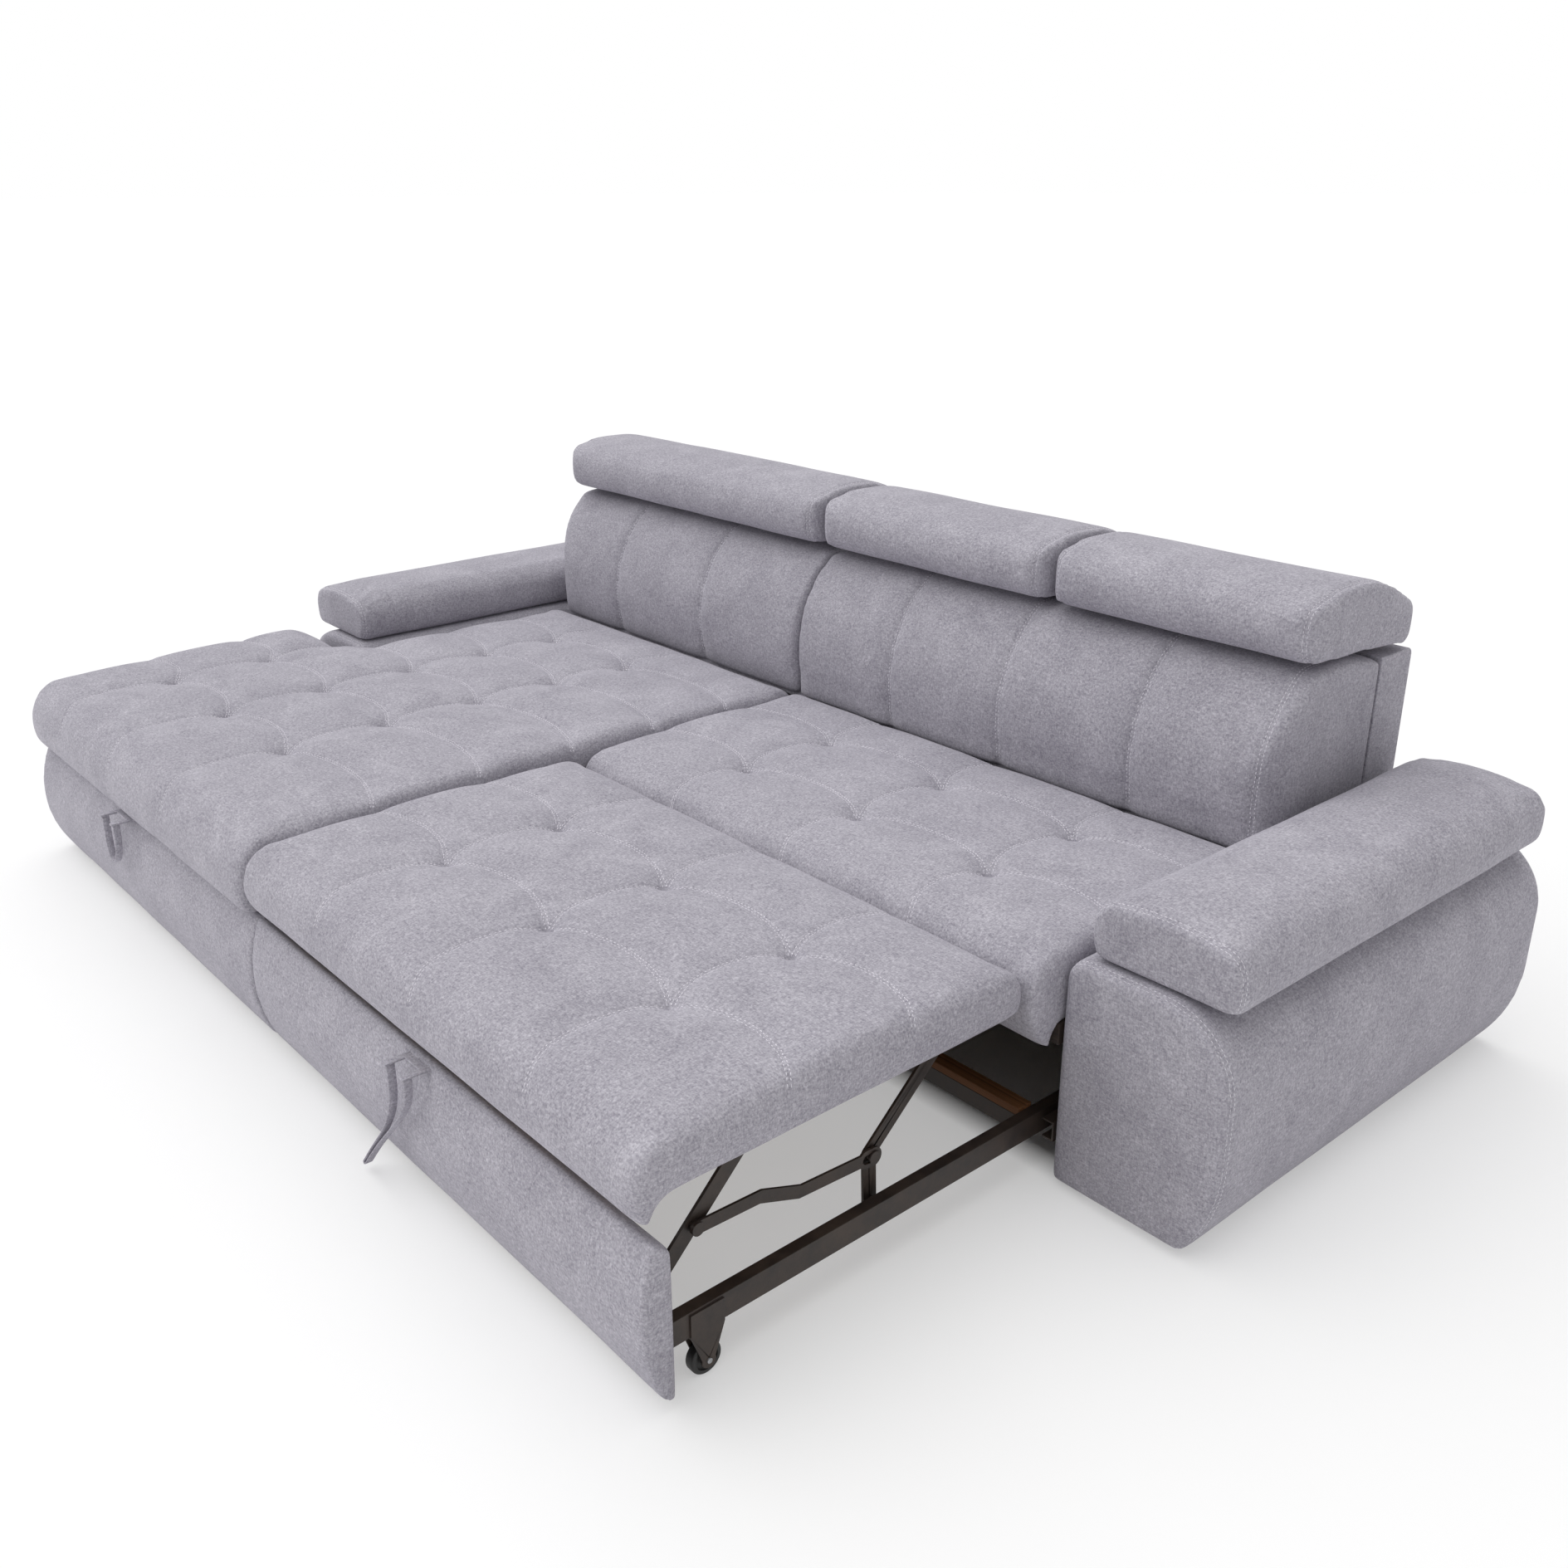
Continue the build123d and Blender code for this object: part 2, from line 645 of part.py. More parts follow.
# Main seat: cushion with a waterfall front on webbing and a timber frame
main_span = (split_x + soft_gap / 2, arm_inner - soft_gap / 2)
webbing_top = main_frame_bottom + main_frame_height + webbing_thickness
with BuildPart() as main_cushion:
    with BuildSketch(Plane.YZ.offset(main_span[0] - overrun)):
        with BuildLine():
            hem = ThreePointArc((main_hem_y, main_hem_z), main_fall, (main_nose_y, main_nose_z))
            lip = ThreePointArc(hem @ 1, main_lip, (main_shoulder_y, seat_top))
            middle = (main_shoulder_y + main_seat_rear) / 2
            top = ThreePointArc(lip @ 1, (middle, seat_top + main_crown),
                                (main_seat_rear - main_rear_round, seat_top - main_rear_dip))
            rear = ThreePointArc(top @ 1, (main_seat_rear - main_rear_bend[0], seat_top - main_rear_bend[1]),
                                 (main_seat_rear, seat_top - main_rear_drop))
            Polyline(rear @ 1, (main_seat_rear, webbing_top), (main_hem_y, webbing_top), hem @ 0)
        make_face()
    extrude(amount=main_span[1] - main_span[0] + 2 * overrun)
    sides = crowned(Plane.XZ.offset(-main_seat_rear - overrun), main_span,
                    (main_hem_z, seat_top + 4 * main_crown),
                    main_crown, soft_gap, main_side_round, main_hem_round)
    extrude(sides, amount=main_seat_rear - main_nose_y + 2 * overrun, mode=Mode.INTERSECT)
    for groove in quilt_grooves(pull_columns, main_rows, [main_span[0], *pull_columns, main_span[1]],
                                [main_nose_y, *main_rows, main_seat_rear]):
        add(groove, mode=Mode.SUBTRACT)
    add(tufts(pull_columns, main_rows), mode=Mode.SUBTRACT)
save(main_cushion, "main_seat_cushion")

frame_span = (split_x, arm_inner)
with BuildPart() as main_frame:
    for y0 in (main_hem_y, main_seat_rear - main_rail_width):
        with Locations((frame_span[0], y0, main_frame_bottom)):
            Box(frame_span[1] - frame_span[0], main_rail_width, main_frame_height, align=(Align.MIN,) * 3)
    for x0 in (frame_span[0], frame_span[1] - main_rail_width):
        with Locations((x0, main_hem_y + main_rail_width + joint_air, main_frame_bottom)):
            Box(main_rail_width, main_seat_rear - main_hem_y - 2 * (main_rail_width + joint_air),
                main_frame_height, align=(Align.MIN,) * 3)
save(main_frame, "main_seat_frame")
with BuildPart() as webbing:
    pitch = (frame_span[1] - frame_span[0] - 4 * main_rail_width) / webbing_count
    first = frame_span[0] + 2 * main_rail_width + pitch / 2
    with Locations(*[(first + pitch * i, main_hem_y, webbing_top) for i in range(webbing_count)]):
        Box(webbing_width, main_seat_rear - main_hem_y, webbing_thickness,
            align=(Align.CENTER, Align.MIN, Align.MAX))
save(webbing, "seat_webbing")

# Chaise box: upholstered front and side, plywood inner walls and floor
with BuildPart() as chaise_front:
    extrude(front_profile(chaise_panel_top_y, box_top, chaise_panel_foot_y, foot_height, panel_back_chaise, 0)
            .moved(Location((-chaise_out, 0, 0))), amount=chaise_out + split_x - soft_gap / 2)
save(chaise_front, "chaise_front_panel")
with BuildPart() as chaise_side:
    with Locations((-chaise_out, panel_back_chaise, foot_height)):
        Box(box_wall, left_arm_front - panel_back_chaise, box_top - foot_height, align=(Align.MIN,) * 3)
    fillet(chaise_side.edges().filter_by(Axis.Y).group_by(Axis.X)[0], side_panel_round)
save(chaise_side, "chaise_side_panel")
with BuildPart() as chaise_partition:
    with Locations((split_x, panel_back_chaise, foot_height)):
        Box(box_wall, back_cushion_rear - panel_back_chaise, box_top - foot_height,
            align=(Align.MAX, Align.MIN, Align.MIN))
save(chaise_partition, "chaise_partition")
rear_board_front = chaise_hinge_y - rear_board_thickness / 2
with BuildPart() as chaise_rear_board:
    with Locations((-arm_inner, rear_board_front, foot_height)):
        Box(arm_inner + split_x - box_wall, rear_board_thickness, rear_board_top - foot_height,
            align=(Align.MIN,) * 3)
save(chaise_rear_board, "chaise_rear_board")
with BuildPart() as chaise_floor:
    with BuildSketch(Plane.XY.offset(box_floor_bottom)):
        floor_right = split_x - box_wall
        Polygon((-chaise_out + box_wall, panel_back_chaise), (floor_right, panel_back_chaise),
                (floor_right, rear_board_front), (-arm_inner, rear_board_front), (-arm_inner, left_arm_front),
                (-chaise_out + box_wall, left_arm_front), align=None)
    extrude(amount=box_floor_thickness)
save(chaise_floor, "chaise_floor_board")

# Chaise pad: one L-shaped lid that goes round the arm's front and swings up about its rear nose
pad_span = (-chaise_out, split_x - soft_gap / 2)
notch_y = left_arm_front - chaise_notch_gap
notch_x = -arm_inner + soft_gap
pad_high = chaise_hinge_z + chaise_nose
with BuildPart() as chaise_pad:
    with BuildSketch(Plane.YZ.offset(pad_span[0] - overrun)):
        with BuildLine():
            nose = ThreePointArc((front_y + chaise_hem_setback, lid_bottom),
                                 (front_y, (lid_bottom + seat_top) / 2 - pad_belly_drop),
                                 (front_y + chaise_front_round, seat_top))
            middle = (front_y + chaise_hinge_y) / 2
            top = ThreePointArc(nose @ 1, (middle, pad_high + chaise_crown), (chaise_hinge_y, pad_high))
            tail = ThreePointArc(top @ 1, (chaise_hinge_y + chaise_nose, chaise_hinge_z),
                                 (chaise_hinge_y, chaise_hinge_z - chaise_nose))
            Polyline(tail @ 1, (chaise_hinge_y - chaise_nose, lid_bottom), nose @ 0)
        make_face()
    extrude(amount=pad_span[1] - pad_span[0] + 2 * overrun)
    sides = crowned(Plane.XZ.offset(-rear_y), pad_span,
                    (lid_bottom - pad_hem_round / 2, pad_high + 5 * chaise_crown),
                    chaise_crown, soft_gap, chaise_side_round, pad_hem_round)
    extrude(sides, amount=rear_y - front_y + overrun, mode=Mode.INTERSECT)
    lean_in = chaise_notch_round * (1 - math.sqrt(0.5))
    with BuildSketch(Plane.XZ.offset(-notch_y)):
        with BuildLine():
            edge = ThreePointArc((notch_x, pad_high - chaise_notch_round),
                                 (notch_x + lean_in, pad_high - lean_in),
                                 (notch_x + chaise_notch_round, pad_high))
            Polyline(edge @ 1, (notch_x + chaise_notch_round, 2 * pad_high), (-2 * half_width, 2 * pad_high),
                     (-2 * half_width, 0), (notch_x, 0), edge @ 0)
        make_face()
    extrude(amount=-2 * rear_y, mode=Mode.SUBTRACT)
    with BuildSketch(Plane.YZ.offset(notch_x)):
        with BuildLine():
            edge = ThreePointArc((notch_y, pad_high - chaise_notch_round),
                                 (notch_y - lean_in, pad_high - lean_in),
                                 (notch_y - chaise_notch_round, pad_high))
            Polyline(edge @ 1, (notch_y - chaise_notch_round, 2 * pad_high), (2 * rear_y, 2 * pad_high),
                     (2 * rear_y, 0), (notch_y, 0), edge @ 0)
        make_face()
    extrude(amount=-2 * half_width, mode=Mode.SUBTRACT)
    side_column, *long_columns = chaise_columns
    front_stops = [front_y, *chaise_rows_front]
    grooves = quilt_grooves([side_column], chaise_rows_front, [pad_span[0], *chaise_columns, pad_span[1]],
                            [*front_stops, notch_y])
    grooves += quilt_grooves(long_columns, chaise_rows_rear, [notch_x, *long_columns, pad_span[1]],
                             [*front_stops, *chaise_rows_rear, chaise_hinge_y])
    for groove in grooves:
        add(groove, mode=Mode.SUBTRACT)
    add(tufts(chaise_columns, chaise_rows_front), mode=Mode.SUBTRACT)
    add(tufts(long_columns, chaise_rows_rear), mode=Mode.SUBTRACT)
    add(leaf_slots(chaise_hinge_x, chaise_hinge_y, chaise_hinge_z, chaise_nose + soft_gap),
        mode=Mode.SUBTRACT)
    board_rear = chaise_hinge_y - chaise_nose - soft_gap
    board_points = [
        (pad_span[0] + lid_board_inset, front_y + 2 * lid_board_inset),
        (pad_span[1] - lid_board_inset, front_y + 2 * lid_board_inset),
        (pad_span[1] - lid_board_inset, board_rear),
        (notch_x + lid_board_inset, board_rear),
        (notch_x + lid_board_inset, notch_y - lid_board_inset),
        (pad_span[0] + lid_board_inset, notch_y - lid_board_inset),
    ]
    with BuildSketch(Plane.XY.offset(lid_bottom)):
        Polygon(*board_points, align=None)
    extrude(amount=lid_board_thickness, mode=Mode.SUBTRACT)
save(chaise_pad, "chaise_pad")
with BuildPart() as chaise_lid_board:
    with BuildSketch(Plane.XY.offset(lid_bottom)):
        Polygon(*board_points, align=None)
    extrude(amount=lid_board_thickness)
save(chaise_lid_board, "chaise_lid_board")
with BuildPart() as chaise_leaves:
    add(hinge_leaf(chaise_hinge_x, chaise_hinge_y, chaise_hinge_z, rear_board_top))
save(chaise_leaves, "chaise_hinge_leaves")
with BuildPart() as chaise_pins:
    for x in chaise_hinge_x:
        add(stepped_pin([(chaise_hinge_y, chaise_hinge_z)],
                        [(x - hinge_pin_length / 2, x + hinge_pin_length / 2, hinge_pin_radius)]))
save(chaise_pins, "chaise_hinge_pins")

# Glides under the arms, the chaise front and the back
glide_spots = [(x, y) for x in (-foot_x, foot_x) for y in (foot_front_y, rear_y - foot_rear_inset)]
glide_spots += [(x, chaise_panel_foot_y + foot_panel_setback + foot_radius)
                for x in (-chaise_out + foot_panel_inset, split_x - foot_panel_inset)]
glide_spots += [(x, back_cushion_rear + post_depth / 2) for x in post_xs[1:3]]
with BuildPart() as glides:
    with Locations(*[(x, y, 0) for x, y in glide_spots]):
        Cylinder(foot_radius, foot_height, align=(Align.CENTER, Align.CENTER, Align.MIN))
    chamfer(glides.edges().group_by(Axis.Z)[0], foot_chamfer)
save(glides, "base_glides")

# Drawer: front panel, two rails, cross bars, castors and rear rollers
panel_span = (split_x + bay_gap, arm_inner - 2 * bay_gap)
with BuildPart() as drawer_panel:
    extrude(front_profile(drawer_panel_top_y, drawer_panel_top, drawer_panel_foot_y, drawer_panel_bottom,
                          drawer_back, drawer_panel_shoulder).moved(Location((panel_span[0], 0, 0))),
            amount=panel_span[1] - panel_span[0])
save(drawer_panel, "drawer_front_panel")

with BuildPart() as rail_right:
    with BuildSketch(Plane.XZ.offset(-drawer_back)):
        with Locations(((rail_inner + rail_outer) / 2, rail_bottom + rail_height / 2)):
            Rectangle(rail_width, rail_height)
            Rectangle(rail_width - 2 * rail_wall, rail_height - 2 * rail_wall, mode=Mode.SUBTRACT)
    extrude(amount=drawer_back - rail_rear)
with BuildPart() as rail_left:
    mirror(rail_right.part, about=bay_mirror)
rail_left_inner = 2 * bay_middle - rail_inner

with BuildPart() as cross_bars:
    with Locations((rail_left_inner, drawer_back, rail_bottom)):
        Box(rail_inner - rail_left_inner, crossbar_thickness, rail_height, align=(Align.MIN,) * 3)
    with BuildSketch(Plane.YZ.offset(rail_left_inner)):
        with Locations((rear_bar_y, rear_bar_bottom)):
            Rectangle(rear_bar_size, rear_bar_size, align=(Align.MIN, Align.MIN))
        with Locations((rear_bar_y + rail_wall, rear_bar_bottom + rail_wall)):
            Rectangle(rear_bar_size - 2 * rail_wall, rear_bar_size - 2 * rail_wall,
                      align=(Align.MIN, Align.MIN), mode=Mode.SUBTRACT)
    extrude(amount=rail_inner - rail_left_inner)
save(cross_bars, "drawer_cross_bars")
with BuildPart() as batten:
    with Locations((rail_left_inner, rear_bar_y, rear_bar_bottom + rear_bar_size)):
        Box(rail_inner - rail_left_inner, rear_bar_size, batten_thickness, align=(Align.MIN,) * 3)
save(batten, "drawer_batten")

rail_centre = (rail_inner + rail_outer) / 2
with BuildPart() as fork_right:
    for x in (rail_inner - fork_thickness, rail_outer):
        with BuildSketch(Plane.YZ.offset(x)):
            with BuildLine():
                foot = ThreePointArc((wheel_y - fork_foot_half, wheel_radius + fork_foot_rise),
                                     (wheel_y, wheel_radius - fork_foot_drop),
                                     (wheel_y + fork_foot_half, wheel_radius + fork_foot_rise))
                Polyline(foot @ 1, (wheel_y + fork_width / 2, rail_bottom), (wheel_y + fork_width / 2,
                         rail_top - fork_top_drop), (wheel_y - fork_width / 2, rail_top - fork_top_drop),
                         (wheel_y - fork_width / 2, rail_bottom), foot @ 0)
            make_face()
            with Locations((wheel_y, wheel_radius)):
                Circle(wheel_axle_radius, mode=Mode.SUBTRACT)
        extrude(amount=fork_thickness)
    with Locations((rail_centre, wheel_y, rail_bottom)):
        Box(rail_width, fork_width, fork_thickness, align=(Align.CENTER, Align.CENTER, Align.MAX))
axle_reach = rail_width / 2 + fork_thickness + axle_end
with BuildPart() as axle_right:
    add(stepped_pin([(wheel_y, wheel_radius)],
                    [(rail_centre - axle_reach, rail_centre + axle_reach, wheel_axle_radius)]))
with BuildPart() as wheel_right:
    with BuildSketch(Plane.YZ.offset(rail_centre - wheel_width / 2)):
        with Locations((wheel_y, wheel_radius)):
            Circle(wheel_radius)
            Circle(wheel_axle_radius + running, mode=Mode.SUBTRACT)
    extrude(amount=wheel_width)
    fillet(wheel_right.edges().filter_by(GeomType.CIRCLE).sort_by(SortBy.RADIUS)[-2:], wheel_edge_round)
    for face in (wheel_right.faces().sort_by(Axis.X)[0], wheel_right.faces().sort_by(Axis.X)[-1]):
        with BuildSketch(Plane(face)):
            Circle(wheel_radius - wheel_tread)
            Circle(wheel_hub_radius, mode=Mode.SUBTRACT)
        extrude(amount=-wheel_recess, mode=Mode.SUBTRACT)

roller_centre = arm_inner - track_wall - layer_gap - roller_width / 2
roller_side = roller_centre - roller_width / 2 - running
with BuildPart() as roller_axle_right:
    add(stepped_pin([(roller_y, roller_z)],
                    [(rail_outer, roller_side, bolt_spacer_radius),
                     (roller_side, roller_centre + roller_width / 2 + roller_axle_end, roller_axle_radius)]))
with BuildPart() as roller_right:
    with BuildSketch(Plane.YZ.offset(roller_centre - roller_width / 2)):
        with Locations((roller_y, roller_z)):
            Circle(roller_radius)
            Circle(roller_axle_radius + running, mode=Mode.SUBTRACT)
    extrude(amount=roller_width)
with BuildPart() as track_right:
    opening = 2 * (roller_radius + seat_clear)
    with BuildSketch(Plane.XZ.offset(-back_cushion_rear)):
        with Locations((arm_inner, roller_z)):
            Rectangle(track_depth, opening + 2 * track_wall, align=(Align.MAX, Align.CENTER))
        with Locations((arm_inner - track_wall, roller_z)):
            Rectangle(track_depth, opening, align=(Align.MAX, Align.CENTER), mode=Mode.SUBTRACT)
    extrude(amount=back_cushion_rear - track_front)

# Lift linkage: two dog-leg arms and a slotted stay on each side, pinned to rails and platform
arm_layer = rail_inner - lift_bay
front_arm_points = [(front_pivot_y, pivot_z), (front_knee_y, front_knee_z), (front_lift_y, lift_z)]
rear_arm_points = [(rear_pivot_y, pivot_z), (rear_knee_y, rear_knee_z), (rear_lift_y, lift_z)]
with BuildPart() as front_arm_right:
    add(flat_bar(front_arm_points, arm_bar_width, arm_layer, arm_bar_thickness,
                 [(front_pivot_y, pivot_z, bolt_radius + running),
                  (front_lift_y, lift_z, lift_pin_radius + running),
                  (stay_front_y, stay_front_z, bolt_radius)]))
with BuildPart() as rear_arm_right:
    add(flat_bar(rear_arm_points, arm_bar_width, arm_layer, arm_bar_thickness,
                 [(rear_pivot_y, pivot_z, bolt_radius + running),
                  (rear_lift_y, lift_z, lift_pin_radius + 4 * running),
                  (rear_knee_y, rear_knee_z, bolt_radius)]))

arm_out = arm_layer + arm_bar_thickness
stay_layer = arm_out + rivet_head_height + layer_gap
stay_run = (rear_knee_y - stay_front_y, rear_knee_z - stay_front_z)
stay_points = [
    (stay_front_y, stay_front_z),
    (stay_front_y + stay_bends[0] * stay_run[0], stay_front_z + stay_bends[0] * stay_run[1] + stay_joggle),
    (stay_front_y + stay_bends[1] * stay_run[0], stay_front_z + stay_bends[1] * stay_run[1] - stay_joggle),
    (rear_knee_y, rear_knee_z),
]
with BuildPart() as stay_right:
    add(flat_bar(stay_points, stay_width, stay_layer, stay_thickness,
                 [(stay_front_y, stay_front_z, bolt_radius + running)]))
    with BuildSketch(Plane.YZ.offset(stay_layer)):
        tilt = math.degrees(math.atan2(stay_run[1], stay_run[0]))
        with Locations((rear_knee_y, rear_knee_z)):
            Circle((stay_width + 4 * stay_slot_gap) / 2)
        with Locations((rear_knee_y - 0.5 * stay_slot_travel, rear_knee_z)):
            SlotCenterToCenter(stay_slot_travel, stay_width + 4 * stay_slot_gap, rotation=tilt)
    extrude(amount=stay_thickness)
    with BuildSketch(Plane.YZ.offset(stay_layer)):
        with Locations((rear_knee_y - 0.5 * stay_slot_travel, rear_knee_z)):
            SlotCenterToCenter(stay_slot_travel, 2 * (bolt_radius + stay_slot_gap), rotation=tilt)
    extrude(amount=stay_thickness, mode=Mode.SUBTRACT)

rivet_end = stay_layer + stay_thickness + running
rivet_steps = [(arm_layer, arm_out, bolt_radius),
               (arm_out, stay_layer - running, bolt_spacer_radius),
               (stay_layer - running, rivet_end, bolt_radius),
               (rivet_end, rivet_end + rivet_head_height, rivet_head_radius)]
with BuildPart() as front_rivet_right:
    add(stepped_pin([(stay_front_y, stay_front_z)], rivet_steps))
with BuildPart() as rear_rivet_right:
    add(stepped_pin([(rear_knee_y, rear_knee_z)], rivet_steps))

bolt_steps = [(arm_layer - running - rivet_head_height, arm_layer - running, rivet_head_radius),
              (arm_layer - running, arm_out + running, bolt_radius),
              (arm_out + running, rail_inner, bolt_spacer_radius)]
with BuildPart() as lift_bolts_right:
    add(stepped_pin([(front_pivot_y, pivot_z), (rear_pivot_y, pivot_z)], bolt_steps))

bracket_layer = arm_layer - layer_gap - lift_bracket_thickness
bearer_outer = bracket_layer
lift_steps = [(bracket_layer, arm_out + running, lift_pin_radius),
              (arm_out + running, arm_out + running + rivet_head_height, rivet_head_radius)]
with BuildPart() as lift_brackets_right:
    for y in (front_lift_y, rear_lift_y):
        add(flat_bar([(y, lift_z), (y, platform_top - platform_board - lift_bracket_width / 2)],
                     lift_bracket_width, bracket_layer, lift_bracket_thickness, []))
        add(stepped_pin([(y, lift_z)], lift_steps))

# Each side of the drawer has its own rail, wheel, roller, arms and stay
own_nodes = {
    "drawer_rail": rail_right,
    "castor_wheel": wheel_right,
    "rear_roller": roller_right,
    "lift_arm_front": front_arm_right,
    "lift_arm_rear": rear_arm_right,
    "lift_stay": stay_right,
}
for name, right_piece in own_nodes.items():
    with BuildPart() as left_piece:
        mirror(right_piece.part, about=bay_mirror)
    save(right_piece, f"{name}_right")
    save(left_piece, f"{name}_left")

# Small fittings share a node, as a right and a left solid
shared_nodes = {
    "castor_forks": fork_right,
    "castor_axles": axle_right,
    "rear_roller_axles": roller_axle_right,
    "drawer_tracks": track_right,
    "lift_pivot_bolts": lift_bolts_right,
    "lift_brackets": lift_brackets_right,
    "stay_rivets_front": front_rivet_right,
    "stay_rivets_rear": rear_rivet_right,
}
for name, right_piece in shared_nodes.items():
    with BuildPart() as both_sides:
        add(right_piece.part)
        mirror(right_piece.part, about=bay_mirror)
    save(both_sides, name)

# Pull-out pad with a lip over the drawer front, on a boarded platform
bed_span = (split_x + 2 * bay_gap, arm_inner - 2 * bay_gap)
with BuildPart() as bed_pad:
    with BuildSketch(Plane.YZ.offset(bed_span[0] - overrun)):
        with BuildLine():
            lip = ThreePointArc((front_y + bed_hem_setback, bed_lip_bottom),
                                (front_y, (bed_lip_bottom + seat_top) / 2 - pad_belly_drop),
                                (front_y + bed_edge_round, seat_top))
            middle = (front_y + bed_rear) / 2
            top = ThreePointArc(lip @ 1, (middle, seat_top + bed_crown), (bed_rear - bed_edge_round, seat_top))
            rear = ThreePointArc(top @ 1, (bed_rear - bed_rear_bend[0], seat_top - bed_rear_bend[1]),
                                 (bed_rear, seat_top - bed_edge_round))
            Polyline(rear @ 1, (bed_rear - bed_rear_taper, bed_side_bottom),
                     (front_y + bed_lip_depth, bed_side_bottom),
                     (front_y + bed_lip_depth, bed_lip_bottom), lip @ 0)
        make_face()
    extrude(amount=bed_span[1] - bed_span[0] + 2 * overrun)
    sides = crowned(Plane.XZ.offset(-bed_rear - overrun), bed_span,
                    (bed_lip_bottom - pad_hem_round / 2, seat_top + 5 * bed_crown),
                    bed_crown, soft_gap, bed_side_round, pad_hem_round)
    extrude(sides, amount=bed_rear - front_y + 2 * overrun, mode=Mode.INTERSECT)
    for groove in quilt_grooves(pull_columns, pull_rows, [bed_span[0], *pull_columns, bed_span[1]],
                                [front_y, *pull_rows, bed_rear]):
        add(groove, mode=Mode.SUBTRACT)
    add(tufts(pull_columns, pull_rows), mode=Mode.SUBTRACT)
    with BuildSketch(Plane.XY.offset(bed_side_bottom)):
        with Locations((bed_span[0] + bed_skirt, bed_pocket_front)):
            Rectangle(bed_span[1] - bed_span[0] - 2 * bed_skirt, bed_pocket_rear - bed_pocket_front,
                      align=(Align.MIN, Align.MIN))
    extrude(amount=platform_top - bed_side_bottom, mode=Mode.SUBTRACT)
save(bed_pad, "bed_pad")

board_bottom = platform_top - platform_board
bearer_left_outer = 2 * bay_middle - bearer_outer
with BuildPart() as bed_board:
    with Locations((bay_middle, bed_pocket_front, board_bottom)):
        Box(bearer_outer - bearer_left_outer, bed_pocket_rear - bed_pocket_front, platform_board,
            align=(Align.CENTER, Align.MIN, Align.MIN))
save(bed_board, "bed_platform_board")
with BuildPart() as bed_bearers:
    for x0 in (bearer_outer - bearer_width, bearer_left_outer):
        with Locations((x0, bed_pocket_front, board_bottom)):
            Box(bearer_width, bed_pocket_rear - bed_pocket_front, board_bottom - bed_side_bottom,
                align=(Align.MIN, Align.MIN, Align.MAX))
save(bed_bearers, "bed_bearers")

# Pull straps on the drawer front and under the chaise pad
strap_front = strap_plane_y - strap_width / 2
with BuildPart() as pull_tab:
    with Locations((pull_route[-1][0] - tab_margin, strap_front, pull_tab_z)):
        Box(pull_route[0][0] - pull_route[-1][0] + 2 * tab_margin, drawer_panel_top_y - strap_front,
            pull_tab_thickness, align=(Align.MIN,) * 3)
    add(drawer_panel.part, mode=Mode.SUBTRACT)
save(pull_tab, "pull_strap_tab")
with BuildPart() as pull_strap:
    add(swept_loop(pull_route, strap_plane_y))
save(pull_strap, "pull_strap")
with BuildPart() as loop_tab:
    with Locations((loop_route[-1][0] - tab_margin, strap_front, loop_tab_z)):
        Box(loop_route[0][0] - loop_route[-1][0] + 2 * tab_margin, loop_tab_rear - strap_front,
            lid_bottom - loop_tab_z, align=(Align.MIN,) * 3)
save(loop_tab, "chaise_loop_tab")
with BuildPart() as chaise_loop:
    add(swept_loop(loop_route, strap_plane_y))
save(chaise_loop, "chaise_loop")
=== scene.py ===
import bmesh
import bpy
import json
import math
from mathutils import Matrix, Vector, noise
from mathutils.bvhtree import BVHTree
from mathutils.kdtree import KDTree


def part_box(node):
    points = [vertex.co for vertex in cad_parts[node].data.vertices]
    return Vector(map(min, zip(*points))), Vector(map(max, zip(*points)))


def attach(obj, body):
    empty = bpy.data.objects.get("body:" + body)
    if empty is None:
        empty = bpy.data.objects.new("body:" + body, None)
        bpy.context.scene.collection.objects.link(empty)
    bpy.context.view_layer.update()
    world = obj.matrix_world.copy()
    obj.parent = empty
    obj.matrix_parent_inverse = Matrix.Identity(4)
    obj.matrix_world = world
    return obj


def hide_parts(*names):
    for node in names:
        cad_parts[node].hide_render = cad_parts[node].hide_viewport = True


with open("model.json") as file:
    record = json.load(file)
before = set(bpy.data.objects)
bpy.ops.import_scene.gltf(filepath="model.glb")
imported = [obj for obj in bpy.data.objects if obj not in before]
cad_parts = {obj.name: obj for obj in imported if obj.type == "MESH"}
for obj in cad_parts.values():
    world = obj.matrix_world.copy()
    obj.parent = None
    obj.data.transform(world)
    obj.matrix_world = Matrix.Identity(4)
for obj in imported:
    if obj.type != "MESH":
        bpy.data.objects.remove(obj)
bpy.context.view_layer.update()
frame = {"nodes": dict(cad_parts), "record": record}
nodes = frame["nodes"]
up = Vector((0, 0, 1))
print("frame loaded,", len(nodes), "nodes")


# Objects and meshes

def show(name, data):
    holder = bpy.data.objects.new(name, data)
    bpy.context.scene.collection.objects.link(holder)
    return holder


def meshOf(bm, name):
    mesh = bpy.data.meshes.new(name)
    bm.to_mesh(mesh)
    bm.free()
    return mesh


def shadeSmooth(mesh):
    for polygon in mesh.polygons:
        polygon.use_smooth = True


def share(value, start, end):
    return max(0.0, min(1.0, (value - start) / (end - start)))


# Colours and nodes

def hexColour(code):
    channels = [int(code[i:i + 2], 16) / 255 for i in (1, 3, 5)]
    return [c / 12.92 if c <= 0.04045 else ((c + 0.055) / 1.055) ** 2.4 for c in channels] + [1.0]


def perMm(size):
    return 1000 / size  # texture scale, per metre, of a pattern this many millimetres wide


